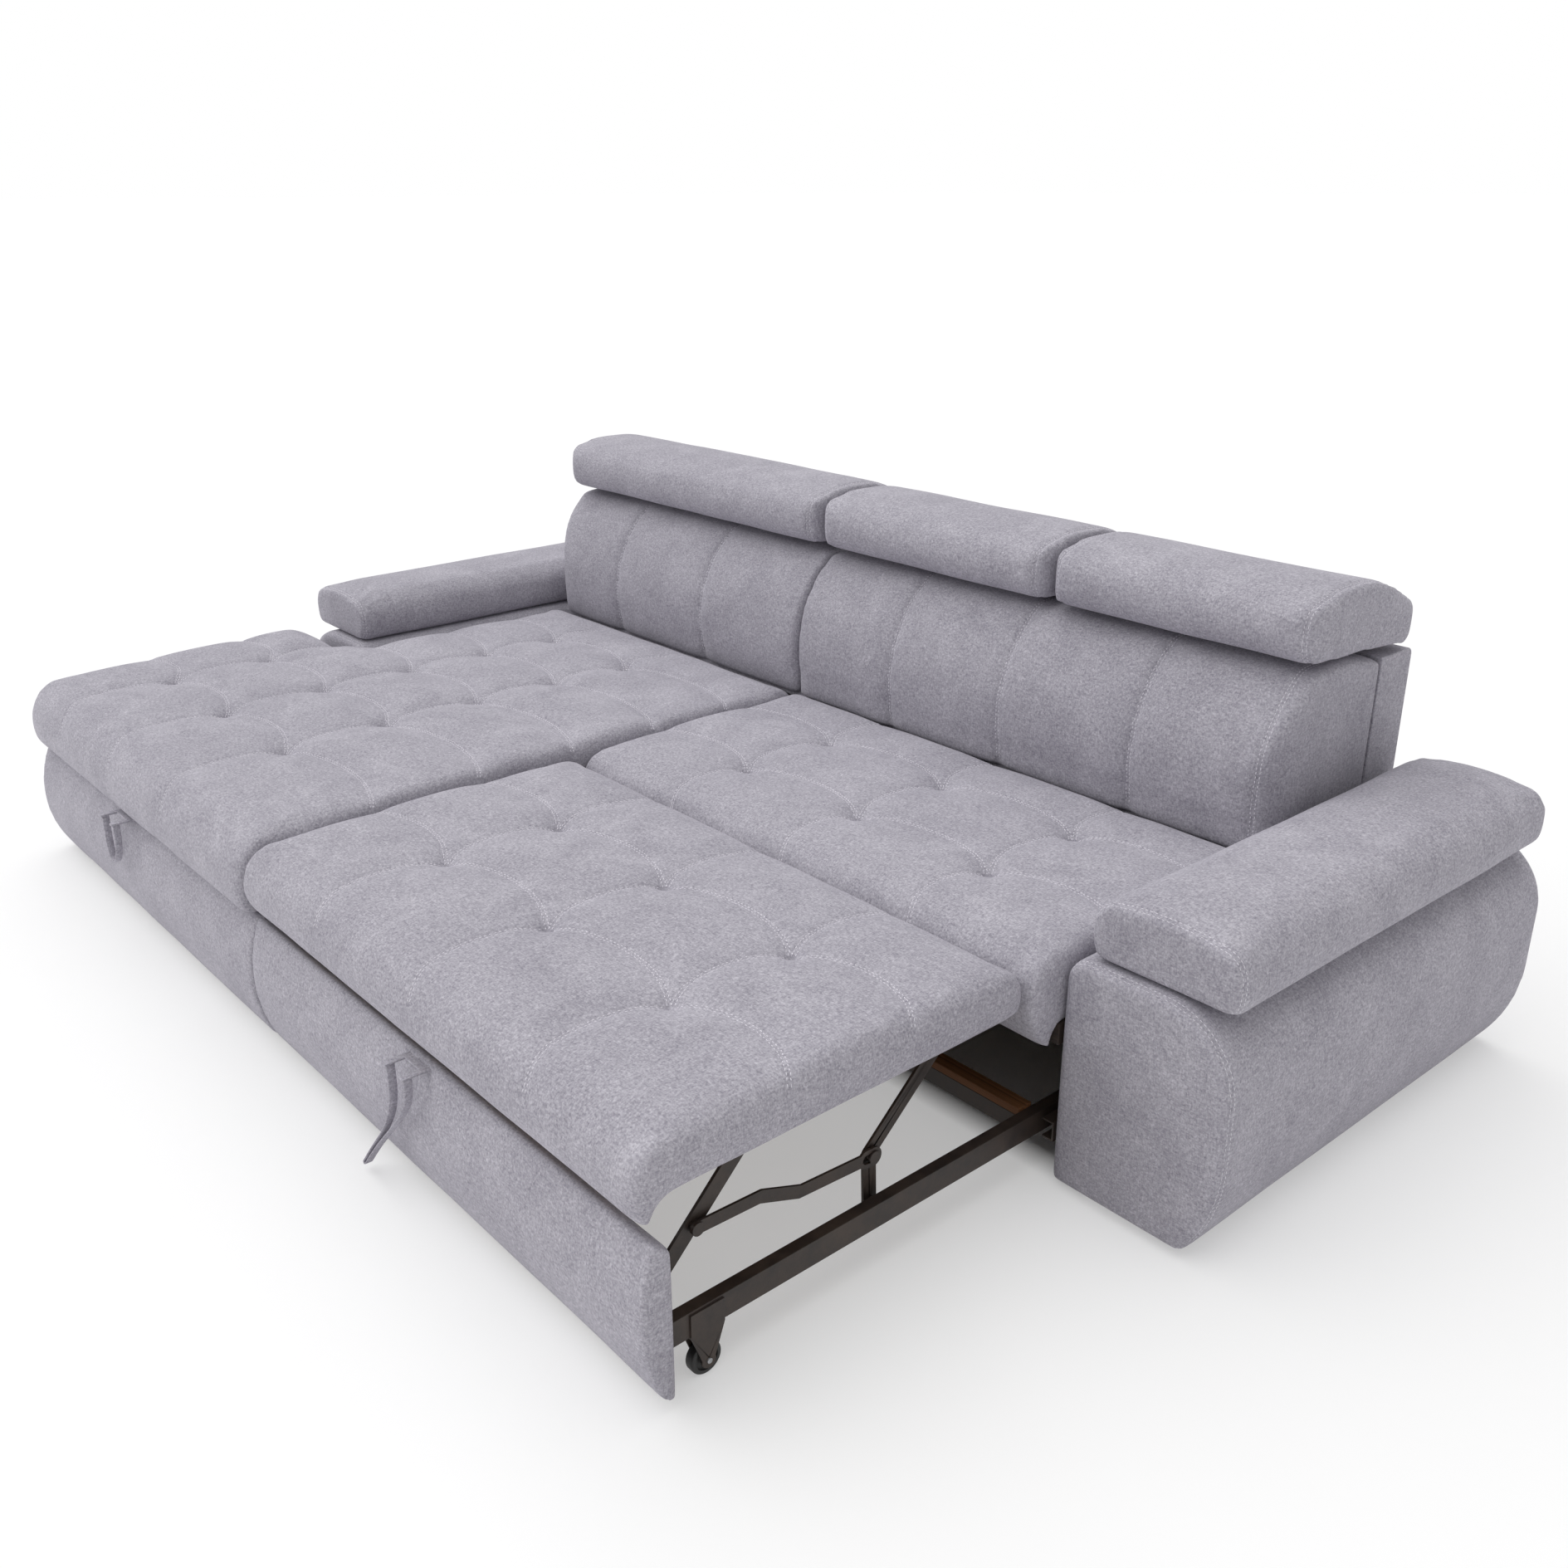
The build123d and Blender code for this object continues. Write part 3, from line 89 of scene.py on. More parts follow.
def newMaterial(name):
    material = bpy.data.materials.new(name)
    material.use_nodes = True
    material.node_tree.nodes.clear()
    return material


def addNode(material, kind, settings=None, links=None):
    tree = material.node_tree
    node = tree.nodes.new(kind)
    for key, value in (settings or {}).items():
        if key == "stops":
            ramp = node.color_ramp
            while len(ramp.elements) < len(value):
                ramp.elements.new(0.5)
            for element, (place, colour) in zip(ramp.elements, value):
                element.position, element.color = place, colour
        elif isinstance(key, int) or key in node.inputs.keys():
            node.inputs[key].default_value = value
        else:
            setattr(node, key, value)
    for key, source in (links or {}).items():
        tree.links.new(source, node.inputs[key])
    return node


def closeMaterial(material, colour, settings, height=None, bump=None, roughness=None):
    links = {"Base Color": colour}
    if roughness is not None:
        links["Roughness"] = roughness
    if height is not None:
        relief = addNode(material, "ShaderNodeBump", bump, {"Height": height})
        links["Normal"] = relief.outputs["Normal"]
    shader = addNode(material, "ShaderNodeBsdfPrincipled", settings, links)
    addNode(material, "ShaderNodeOutputMaterial", None, {"Surface": shader.outputs["BSDF"]})
    return material


# Short-pile velour, brushed both ways: matt, with a soft mottle where the pile lies differently
velour = dict(low="#83808a", mid="#a6a3ac", high="#c8c5cd", patchMm=110, fleckMm=4.5, fleckShare=0.64,
              strandMm=2.6, strandLengthMm=8, pileShare=0.6,  # strands drawn coarse enough to show
              spots=(0.38, 0.5, 0.62), sheen=0.22, sheenTint="#e4e1ea")


# shade scales all three tones; above 1 it paints light onto a lighter copy of the same velour
def velourMaterial(name, shade=1.0):
    material = newMaterial(name)
    place = addNode(material, "ShaderNodeTexCoord").outputs["Object"]
    patch = addNode(material, "ShaderNodeTexNoise", {"Scale": perMm(velour["patchMm"]), "Detail": 4.0,
                                                     "Roughness": 0.62, "Distortion": 0.8}, {"Vector": place})
    fleck = addNode(material, "ShaderNodeTexNoise", {"Scale": perMm(velour["fleckMm"]), "Detail": 3.0,
                                                     "Roughness": 0.65, "Distortion": 0.5}, {"Vector": place})
    wide, long = perMm(velour["strandMm"]), perMm(velour["strandLengthMm"])
    strands = []
    for stretch in ((long, wide, wide), (wide, long, wide), (wide, wide, long)):
        turned = addNode(material, "ShaderNodeMapping", {"Scale": stretch}, {"Vector": place})
        strand = addNode(material, "ShaderNodeTexNoise", {"Scale": 1.0, "Detail": 2.0, "Roughness": 0.6},
                         {"Vector": turned.outputs["Vector"]})
        strands.append(strand.outputs["Fac"])
    pair = addNode(material, "ShaderNodeMath", {"operation": "ADD"}, {0: strands[0], 1: strands[1]})
    pile = addNode(material, "ShaderNodeMath", {"operation": "ADD"}, {0: pair.outputs[0], 1: strands[2]})
    pileMean = addNode(material, "ShaderNodeMath", {"operation": "MULTIPLY", 1: 1 / 3}, {0: pile.outputs[0]})
    cloud = addNode(material, "ShaderNodeMix", {"data_type": "FLOAT", 0: velour["fleckShare"]},
                    {2: patch.outputs["Fac"], 3: fleck.outputs["Fac"]})
    tone = addNode(material, "ShaderNodeMix", {"data_type": "FLOAT", 0: velour["pileShare"]},
                   {2: cloud.outputs[0], 3: pileMean.outputs[0]})
    tones = [hexColour(velour[tone]) for tone in ("low", "mid", "high")]
    stops = [(spot, [c * shade for c in tone[:3]] + [1.0]) for spot, tone in zip(velour["spots"], tones)]
    colour = addNode(material, "ShaderNodeValToRGB", {"stops": stops}, {"Fac": tone.outputs[0]})
    return closeMaterial(material, colour.outputs["Color"],
                         {"Roughness": 0.95, "Specular IOR Level": 0.15, "Sheen Weight": velour["sheen"],
                          "Sheen Roughness": 0.45, "Sheen Tint": hexColour(velour["sheenTint"])},
                         pileMean.outputs[0], {"Strength": 0.28, "Distance": 0.0018})


# Spun polyester sewing thread: pale, faintly glossy, twisted
def threadMaterial(name):
    material = newMaterial(name)
    place = addNode(material, "ShaderNodeTexCoord").outputs["Object"]
    twist = addNode(material, "ShaderNodeTexNoise", {"Scale": perMm(2.0), "Detail": 2.0}, {"Vector": place})
    colour = addNode(material, "ShaderNodeValToRGB",
                     {"stops": [(0.35, hexColour("#d4d1d9")), (0.65, hexColour("#ebe8ef"))]},
                     {"Fac": twist.outputs["Fac"]})
    return closeMaterial(material, colour.outputs["Color"], {"Roughness": 0.6, "Specular IOR Level": 0.3},
                         twist.outputs["Fac"], {"Strength": 0.3, "Distance": 0.0004})


# Powder-coated mild steel: dark brown-black, satin, with a fine orange peel and rubbed spots
def coatedSteelMaterial(name, low, high):
    material = newMaterial(name)
    place = addNode(material, "ShaderNodeTexCoord").outputs["Object"]
    peel = addNode(material, "ShaderNodeTexNoise", {"Scale": perMm(2.2), "Detail": 2.0}, {"Vector": place})
    rub = addNode(material, "ShaderNodeTexNoise", {"Scale": perMm(60), "Detail": 5.0, "Roughness": 0.7},
                  {"Vector": place})
    colour = addNode(material, "ShaderNodeValToRGB",
                     {"stops": [(0.35, hexColour(low)), (0.7, hexColour(high))]}, {"Fac": rub.outputs["Fac"]})
    gloss = addNode(material, "ShaderNodeMapRange", {"To Min": 0.34, "To Max": 0.6}, {"Value": rub.outputs["Fac"]})
    return closeMaterial(material, colour.outputs["Color"], {"Specular IOR Level": 0.4},
                         peel.outputs["Fac"], {"Strength": 0.12, "Distance": 0.0004}, gloss.outputs["Result"])


# Sawn softwood or plywood: long grain along X with darker late wood
def timberMaterial(name, low, mid, high, ringMm):
    material = newMaterial(name)
    place = addNode(material, "ShaderNodeTexCoord").outputs["Object"]
    along = addNode(material, "ShaderNodeMapping", {"Scale": (1.2, perMm(ringMm), perMm(ringMm))}, {"Vector": place})
    grain = addNode(material, "ShaderNodeTexNoise", {"Scale": 1.0, "Detail": 5.0, "Roughness": 0.6,
                                                     "Distortion": 1.2}, {"Vector": along.outputs["Vector"]})
    colour = addNode(material, "ShaderNodeValToRGB",
                     {"stops": [(0.3, hexColour(low)), (0.5, hexColour(mid)), (0.72, hexColour(high))]},
                     {"Fac": grain.outputs["Fac"]})
    return closeMaterial(material, colour.outputs["Color"], {"Roughness": 0.65, "Specular IOR Level": 0.35},
                         grain.outputs["Fac"], {"Strength": 0.2, "Distance": 0.0006})


# Zinc-plated steel: bright grey metal, slightly cloudy
def zincMaterial(name):
    material = newMaterial(name)
    place = addNode(material, "ShaderNodeTexCoord").outputs["Object"]
    cloud = addNode(material, "ShaderNodeTexNoise", {"Scale": perMm(9), "Detail": 4.0}, {"Vector": place})
    colour = addNode(material, "ShaderNodeValToRGB",
                     {"stops": [(0.35, hexColour("#8d8e90")), (0.65, hexColour("#b7b8ba"))]},
                     {"Fac": cloud.outputs["Fac"]})
    gloss = addNode(material, "ShaderNodeMapRange", {"To Min": 0.28, "To Max": 0.5}, {"Value": cloud.outputs["Fac"]})
    return closeMaterial(material, colour.outputs["Color"], {"Metallic": 1.0}, roughness=gloss.outputs["Result"])


# Moulded nylon: black, satin, with a spark-eroded grain
def nylonMaterial(name):
    material = newMaterial(name)
    place = addNode(material, "ShaderNodeTexCoord").outputs["Object"]
    grain = addNode(material, "ShaderNodeTexNoise", {"Scale": perMm(1.5), "Detail": 2.0}, {"Vector": place})
    scuff = addNode(material, "ShaderNodeTexNoise", {"Scale": perMm(14), "Detail": 4.0}, {"Vector": place})
    colour = addNode(material, "ShaderNodeValToRGB",
                     {"stops": [(0.4, hexColour("#171615")), (0.75, hexColour("#2b2a29"))]},
                     {"Fac": scuff.outputs["Fac"]})
    return closeMaterial(material, colour.outputs["Color"], {"Roughness": 0.5}, grain.outputs["Fac"],
                         {"Strength": 0.2, "Distance": 0.0003})


# Elastic webbing: dark woven band with ribs across and stripes along
def webbingMaterial(name):
    material = newMaterial(name)
    place = addNode(material, "ShaderNodeTexCoord").outputs["Object"]
    ribs = addNode(material, "ShaderNodeTexWave", {"bands_direction": "Y", "Scale": perMm(5) / 20},
                   {"Vector": place})
    stripes = addNode(material, "ShaderNodeTexWave", {"bands_direction": "X", "Scale": perMm(14) / 20},
                      {"Vector": place})
    weave = addNode(material, "ShaderNodeMath", {"operation": "MULTIPLY"},
                    {0: ribs.outputs["Fac"], 1: stripes.outputs["Fac"]})
    colour = addNode(material, "ShaderNodeValToRGB",
                     {"stops": [(0.1, hexColour("#2a2522")), (0.8, hexColour("#5a5149"))]},
                     {"Fac": weave.outputs[0]})
    return closeMaterial(material, colour.outputs["Color"], {"Roughness": 0.9}, ribs.outputs["Fac"],
                         {"Strength": 0.3, "Distance": 0.001})


# Spunbond dust cloth: black, papery, with a fine point-bond grid; its black also serves as painted shade for the dark
# under the seat
def liningMaterial(name):
    material = newMaterial(name)
    place = addNode(material, "ShaderNodeTexCoord").outputs["Object"]
    bond = addNode(material, "ShaderNodeTexVoronoi", {"Scale": perMm(2.5), "Randomness": 0.2}, {"Vector": place})
    colour = addNode(material, "ShaderNodeValToRGB",
                     {"stops": [(0.1, hexColour("#141313")), (0.6, hexColour("#23211f"))]},
                     {"Fac": bond.outputs["Distance"]})
    return closeMaterial(material, colour.outputs["Color"], {"Roughness": 0.85}, bond.outputs["Distance"],
                         {"Strength": 0.2, "Distance": 0.0003})


looks = {
    "upholstery": velourMaterial("velourUpholstery"),
    # The strap's velour is 6 % lighter than the upholstery's: painted light on strap faces that turn down into shade
    "strap_fabric": velourMaterial("velourStrapPaintedLight", 1.06),
    "plywood": timberMaterial("birchPlywood", "#8d6a45", "#b08a60", "#c8a67c", 9),
    "timber": timberMaterial("stainedPine", "#4a2f1c", "#6d4629", "#87603f", 6),
    "dark_timber": timberMaterial("sealedPine", "#1d1714", "#2b221d", "#3a2f28", 6),
    "black_steel": coatedSteelMaterial("coatedSteel", "#2a2320", "#453a33"),
    "zinc_steel": zincMaterial("zincSteel"),
    "black_nylon": nylonMaterial("mouldedNylon"),
    "webbing": webbingMaterial("elasticWebbing"),
    "thread": threadMaterial("sewingThread"),
    "lining": liningMaterial("spunbondLiningShade"),
}
print("materials made:", len(looks))


# Soft pieces: a copy of the solid is remeshed, sewn down along its seams, filled by pressure and refined

def keepEvaluated(piece):
    graph = bpy.context.evaluated_depsgraph_get()
    mesh = bpy.data.meshes.new_from_object(piece.evaluated_get(graph))
    piece.modifiers.clear()
    old, piece.data = piece.data, mesh
    bpy.data.meshes.remove(old)


def roughCut(name, node, voxel, smoothing):
    mesh = nodes[node].data.copy()
    mesh.name = name
    piece = show(name, mesh)
    remesh = piece.modifiers.new("remesh", "REMESH")
    remesh.mode, remesh.voxel_size, remesh.use_smooth_shade = "VOXEL", voxel, True
    keepEvaluated(piece)
    bm = bmesh.new()
    bm.from_mesh(piece.data)
    for _ in range(smoothing):
        bmesh.ops.smooth_vert(bm, verts=bm.verts, factor=0.5, use_axis_x=True, use_axis_y=True, use_axis_z=True)
    bm.to_mesh(piece.data)
    bm.free()
    fitBox(piece, *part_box(node))
    return piece


def fitBox(piece, low, high):
    spots = [v.co for v in piece.data.vertices]
    for axis in range(3):
        least, most = min(p[axis] for p in spots), max(p[axis] for p in spots)
        for p in spots:
            p[axis] = low[axis] + (p[axis] - least) * (high[axis] - low[axis]) / (most - least)
    piece.data.update()


sewing = dict(step=0.006, sliceStep=0.005, fewest=4)  # spacing of points along a drawn and a sliced seam


def evenPoints(points, step):
    lengths = [0.0]
    for a, b in zip(points, points[1:]):
        lengths.append(lengths[-1] + (b - a).length)
    count = max(2, round(lengths[-1] / step) + 1)
    even, k = [], 0
    for i in range(count):
        goal = lengths[-1] * i / (count - 1)
        while k < len(points) - 2 and lengths[k + 1] < goal:
            k += 1
        run = max(lengths[k + 1] - lengths[k], 1e-9)
        even.append(points[k].lerp(points[k + 1], min(1.0, (goal - lengths[k]) / run)))
    return even


def bowedLine(start, end, bow):
    a, b = Vector(start), Vector(end)
    side = Vector((-(b - a).y, (b - a).x)).normalized()
    count = max(sewing["fewest"], round((b - a).length / sewing["step"]))
    return [a.lerp(b, i / count) + side * (4 * bow * (i / count) * (1 - i / count)) for i in range(count + 1)]


def dropLine(piece, flatPoints, height=2.0):
    tree = BVHTree.FromObject(piece, bpy.context.evaluated_depsgraph_get())
    hits = [tree.ray_cast(Vector((p.x, p.y, height)), -up)[0] for p in flatPoints]
    return [hit for hit in hits if hit is not None]


def sliceLines(piece, point, normal, keep):
    bm = bmesh.new()
    bm.from_mesh(piece.data)
    everything = bm.verts[:] + bm.edges[:] + bm.faces[:]
    cut = bmesh.ops.bisect_plane(bm, geom=everything, plane_co=point, plane_no=normal)["geom_cut"]
    edges = {e for e in cut if isinstance(e, bmesh.types.BMEdge) and all(keep(v.co) for v in e.verts)}
    lines = []
    while edges:
        ends = [v for e in edges for v in e.verts if sum(f in edges for f in v.link_edges) == 1]
        spot = ends[0] if ends else next(iter(edges)).verts[0]
        line = [spot.co.copy()]
        while True:
            step = next((e for e in spot.link_edges if e in edges), None)
            if step is None:
                break
            edges.discard(step)
            spot = step.other_vert(spot)
            line.append(spot.co.copy())
        if len(line) > sewing["fewest"]:
            lines.append(evenPoints(line, sewing["sliceStep"]))
    bm.free()
    return lines


def seam(points, depth=0.003, width=0.006, rows=(-0.0035, 0.0035), fade=1.0, pull=0.0, reach=0.04, thread=0.0013):
    # A sewn line: a narrow crease, a broad pull of the filling round it, and rows of stitches beside it.
    # fade is the share of the depth at the start of the line
    return dict(points=points, depth=depth, width=width, rows=rows, fade=fade, pull=pull, reach=reach, thread=thread)


def seamTree(seams):
    marks = [(p, s, i / max(1, len(s["points"]) - 1)) for s in seams for i, p in enumerate(s["points"])]
    tree = KDTree(max(1, len(marks)))
    for i, (p, _, _) in enumerate(marks):
        tree.insert(p, i)
    tree.balance()
    return tree, marks


def sewDown(piece, seams, tufts, broad, narrow):
    tree, marks = seamTree(seams)
    mesh = piece.data
    moves = []
    for vertex in mesh.vertices:
        drop = 0.0
        if marks:
            _, i, distance = tree.find(vertex.co)
            _, line, along = marks[i]
            strength = line["fade"] + (1 - line["fade"]) * along ** 2
            drop += narrow * strength * line["depth"] * math.exp(-(distance / line["width"]) ** 2)
            drop += broad * line["pull"] * math.exp(-(distance / line["reach"]) ** 2)
        for spot, depth, radius in tufts:
            away = (vertex.co - spot).length
            if away < 3 * radius:
                drop += narrow * depth * math.exp(-(away / radius) ** 2)
        moves.append(vertex.co - vertex.normal * drop)
    for vertex, place in zip(mesh.vertices, moves):
        vertex.co = place
    mesh.update()


filling = dict(quality=4, frames=20, seedSteps=(7.3, 3.1, 5.7))


def unevenFill(piece, height, wave, seed):
    mesh = piece.data
    offset = Vector([seed * step for step in filling["seedSteps"]])
    moves = [v.co + v.normal * height * noise.noise(v.co / wave + offset) for v in mesh.vertices]
    for vertex, place in zip(mesh.vertices, moves):
        vertex.co = place
    mesh.update()


def pinSewn(piece, seams, held, reach):
    tree, marks = seamTree(seams)
    group = piece.vertex_groups.new(name="sewn")
    for vertex in piece.data.vertices:
        near = marks and tree.find(vertex.co)[2] < reach
        group.add([vertex.index], 1.0 if near or held(vertex.co, vertex.normal) else 0.0, "REPLACE")


def addFilling(piece, pressure):
    cloth = piece.modifiers.new("filling", "CLOTH")
    cloth.settings.quality = filling["quality"]
    cloth.settings.vertex_group_mass = "sewn"
    cloth.settings.use_pressure = True
    cloth.settings.uniform_pressure_force = pressure
    cloth.settings.effector_weights.gravity = 0
    cloth.collision_settings.use_collision = False
    cloth.point_cache.frame_start, cloth.point_cache.frame_end = 1, filling["frames"]


def refine(piece, levels=1):
    if levels:
        smooth = piece.modifiers.new("smooth", "SUBSURF")
        smooth.levels = smooth.render_levels = levels
        keepEvaluated(piece)
    shadeSmooth(piece.data)


stitch = dict(pitch=0.0080, length=0.0062, height=0.8, sink=0.0001)


def stitchRows(name, piece, seams, body):
    tree = BVHTree.FromObject(piece, bpy.context.evaluated_depsgraph_get())
    grain = bmesh.new()
    bmesh.ops.create_icosphere(grain, subdivisions=1, radius=0.5)
    grainMesh = meshOf(grain, name + "Grain")
    bm = bmesh.new()
    for line in seams:
        for offset in line["rows"]:
            points = evenPoints(line["points"], stitch["pitch"])
            for before, here, after in zip(points, points[1:], points[2:]):
                tangent = (after - before).normalized()
                spot, normal, _, _ = tree.find_nearest(here)
                side = normal.cross(tangent).normalized()
                spot, normal, _, _ = tree.find_nearest(spot + side * offset)
                side = normal.cross(tangent).normalized()
                tangent = side.cross(normal)
                turn = Matrix((tangent, side, normal)).transposed().to_4x4()
                size = Matrix.Diagonal((stitch["length"], line["thread"], line["thread"] * stitch["height"], 1))
                place = Matrix.Translation(spot - normal * stitch["sink"]) @ turn @ size
                grainMesh.transform(place)
                bm.from_mesh(grainMesh)
                grainMesh.transform(place.inverted())
    bpy.data.meshes.remove(grainMesh)
    mesh = meshOf(bm, name)
    shadeSmooth(mesh)
    mesh.materials.append(looks["thread"])
    threads = show(name, mesh)
    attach(threads, body)
    return threads


cushions = []


def startCushion(name, node, body, voxel, smoothing, seams, tufts=(), held=None, fill=0.7, pressure=4.0,
                 topCap=0.004, sideCap=0.002, uneven=0.0015, wave=0.16, padded=True, levels=1, shape=None):
    piece = roughCut(name, node, voxel, smoothing)
    if shape:
        for vertex in piece.data.vertices:
            shape(vertex.co)
    piece.data.update()
    cushion = dict(piece=piece, name=name, node=node, body=body, seams=seams(piece),
                   tufts=[(dropLine(piece, [Vector(t[:2])])[0], *t[2:]) for t in tufts],
                   fill=fill, topCap=topCap, sideCap=sideCap, uneven=uneven, wave=wave, padded=padded, levels=levels)
    sewDown(piece, cushion["seams"], [], 1.0, 0.0)
    if padded:
        pinSewn(piece, cushion["seams"], held, voxel)
        cushion["rest"] = [v.co.copy() for v in piece.data.vertices]
        addFilling(piece, pressure)
    cushions.append(cushion)
    print("cut", name, len(piece.data.vertices))


def fillCushions():
    for step in range(1, filling["frames"] + 1):
        bpy.context.scene.frame_set(step)
    for cushion in cushions:
        if "rest" not in cushion:
            continue
        piece = cushion["piece"]
        keepEvaluated(piece)
        furthest = 0.0
        for vertex, rest in zip(piece.data.vertices, cushion["rest"]):
            move = vertex.co - rest
            furthest = max(furthest, move.length)
            flat = Vector((move.x, move.y, 0))
            if flat.length > cushion["sideCap"]:
                flat *= cushion["sideCap"] / flat.length
            rise = max(-cushion["topCap"], min(cushion["topCap"], move.z))
            vertex.co = rest + flat + up * rise
        piece.data.update()
        print("filled", cushion["name"], round(furthest * 1000, 1), "mm")
    bpy.context.scene.frame_set(1)


def lowered(piece, seams):
    tree = BVHTree.FromObject(piece, bpy.context.evaluated_depsgraph_get())
    for line in seams:
        line["points"] = [tree.find_nearest(p)[0] for p in line["points"]]
    return seams


def finishCushion(cushion, seed):
    piece = cushion["piece"]
    piece.vertex_groups.clear()
    refine(piece, cushion["levels"])
    unevenFill(piece, cushion["uneven"], cushion["wave"], seed)
    sewDown(piece, lowered(piece, cushion["seams"]), cushion["tufts"], 0.0, 1.0)
    piece.data.materials.clear()
    piece.data.materials.append(looks["upholstery"])
    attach(piece, cushion["body"])
    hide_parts(cushion["node"])
    if any(line["rows"] for line in cushion["seams"]):
        threads = stitchRows(cushion["name"] + "Stitches", piece, cushion["seams"], cushion["body"])


# Quilting of the three seat pads: rows bow to the back, columns to the left, a tuft at each crossing
quilt = dict(rowBow=0.042, columnBow=0.030, depth=0.0032, width=0.006, pull=0.0028, reach=0.05, fade=0.55,
             tuftDepth=0.0055, tuftRadius=0.010, row=0.003, thread=0.0018, topSlope=0.35)


def quiltSeams(piece, columns, rows, stopsX, stopsY):
    lines = []
    for y in rows:
        for x0, x1 in zip(stopsX, stopsX[1:]):
            lines.append(dropLine(piece, bowedLine((x0, y), (x1, y), quilt["rowBow"])))
    for x in columns:
        for y0, y1 in zip(stopsY, stopsY[1:]):
            lines.append(dropLine(piece, bowedLine((x, y0), (x, y1), quilt["columnBow"])))
    rows = (-quilt["row"], quilt["row"])
    return [seam(line, quilt["depth"], quilt["width"], rows, quilt["fade"], quilt["pull"], quilt["reach"],
                 quilt["thread"]) for line in lines if len(line) > 3]


def quiltTufts(columns, rows):
    return [(x, y, quilt["tuftDepth"], quilt["tuftRadius"]) for x in columns for y in rows]


def heldBelow(place, normal):
    return normal.z < quilt["topSlope"]  # only the top swells


bed = dict(columns=[0.188, 0.500, 0.812], rows=[-0.612, -0.388], voxel=0.0095, smoothing=14, edge=0.004)
low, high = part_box("bed_pad")
startCushion("pullOutPad", "bed_pad", "bed", bed["voxel"], bed["smoothing"], lambda piece: quiltSeams(
    piece, bed["columns"], bed["rows"], [low.x + bed["edge"], *bed["columns"], high.x - bed["edge"]],
    [low.y + bed["edge"], *bed["rows"], high.y - bed["edge"]]),
    quiltTufts(bed["columns"], bed["rows"]), heldBelow)

seat = dict(columns=bed["columns"], rows=[0.045, 0.265], voxel=0.0095, smoothing=9, edge=0.004,
            lift=0.006, liftY=(0.33, 0.41), liftZ=0.38,  # the rear edge is pressed up against the back
            press=0.008, pressY=(0.38, 0.445))


def fullRear(place):
    if place.z > seat["liftZ"]:
        place.z += seat["lift"] * share(place.y, *seat["liftY"])
    place.y -= seat["press"] * share(place.y, *seat["pressY"])


low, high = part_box("main_seat_cushion")
startCushion("mainSeatPad", "main_seat_cushion", "base", seat["voxel"], seat["smoothing"], lambda piece: quiltSeams(
    piece, seat["columns"], seat["rows"], [low.x + seat["edge"], *seat["columns"], high.x - seat["edge"]],
    [low.y + seat["edge"], *seat["rows"], high.y - seat["edge"]]),
    quiltTufts(seat["columns"], seat["rows"]), heldBelow, shape=fullRear)

chaise = dict(side=-1.095, columns=[-0.795, -0.495], frontRows=[-0.592, -0.368], rearRows=[-0.155, 0.045, 0.240],
              notchX=-1.076, notchY=-0.165, rear=0.365, hinge=(0.365, 0.342), square=0.010, radius=0.06,
              voxel=0.010, smoothing=12, edge=0.004)


def chaiseSeams(piece):
    start, end = low.x + chaise["edge"], high.x - chaise["edge"]
    front = [low.y + chaise["edge"], *chaise["frontRows"]]
    lines = quiltSeams(piece, [chaise["side"]], chaise["frontRows"],
                       [start, chaise["side"], *chaise["columns"], end], [*front, chaise["notchY"]])
    lines += quiltSeams(piece, chaise["columns"], chaise["rearRows"], [chaise["notchX"], *chaise["columns"], end],
                        [*front, *chaise["rearRows"], chaise["rear"]])
    return lines


def squareRear(place):
    # The rear nose is round about the lid's hinge, and its top edge a little squarer than that
    away = Vector((place.y - chaise["hinge"][0], place.z - chaise["hinge"][1]))
    if away.x > 0 and away.y > 0:
        fuller = 1 + chaise["square"] * math.sin(2 * math.atan2(away.y, away.x)) / max(away.length, chaise["radius"])
        place.y, place.z = chaise["hinge"][0] + away.x * fuller, chaise["hinge"][1] + away.y * fuller


low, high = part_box("chaise_pad")
startCushion("chaisePad", "chaise_pad", "chaise_lid", chaise["voxel"], chaise["smoothing"], chaiseSeams,
             quiltTufts([chaise["side"], *chaise["columns"]], chaise["frontRows"])
             + quiltTufts(chaise["columns"], chaise["rearRows"]), heldBelow, shape=squareRear)

# Back cushions: sewn channels from the ledge up over the brow
back = dict(left=[-0.800, -0.460], right=[0.180, 0.478, 0.790], endCap=0.034, voxel=0.010, smoothing=6,
            rearY=0.70, footZ=0.405, cap=0.0015,
            depth=0.0028, capDepth=0.0025, width=0.006, pullShare=0.25, reach=0.035, thread=0.0019,
            tuck=dict(left=0.006, right=0.014), drop=0.009, tuckZ=(0.46, 0.402), tuckY=0.55,
            held=(0.3, -0.5, 0.6), crown=0.016, crownZ=(0.60, 0.697), crownY=(0.74, 0.64))


def plump(place, tuck):
    # The foot sags forward and down onto the seat, and the brow is full under the headrests
    if place.y < back["tuckY"]:
        sag = share(place.z, *back["tuckZ"]) ** 2
        place.y -= tuck * sag
        place.z -= back["drop"] * sag
    place.z += back["crown"] * share(place.z, *back["crownZ"]) ** 2 * share(place.y, *back["crownY"])


def heldBehind(place, normal):
    rear, below, end = back["held"]  # slopes past which the cover is held
    return normal.y > rear or normal.z < below or abs(normal.x) > end


def channelSeams(places):
    def lines(piece):
        found = []
        for x, depth in places:
            for line in sliceLines(piece, Vector((x, 0, 0)), Vector((1, 0, 0)),
                                   lambda p: p.y < back["rearY"] and p.z > back["footZ"]):
                found.append(seam(line, depth, back["width"], pull=depth * back["pullShare"], reach=back["reach"],
                                  thread=back["thread"]))
        return found
    return lines


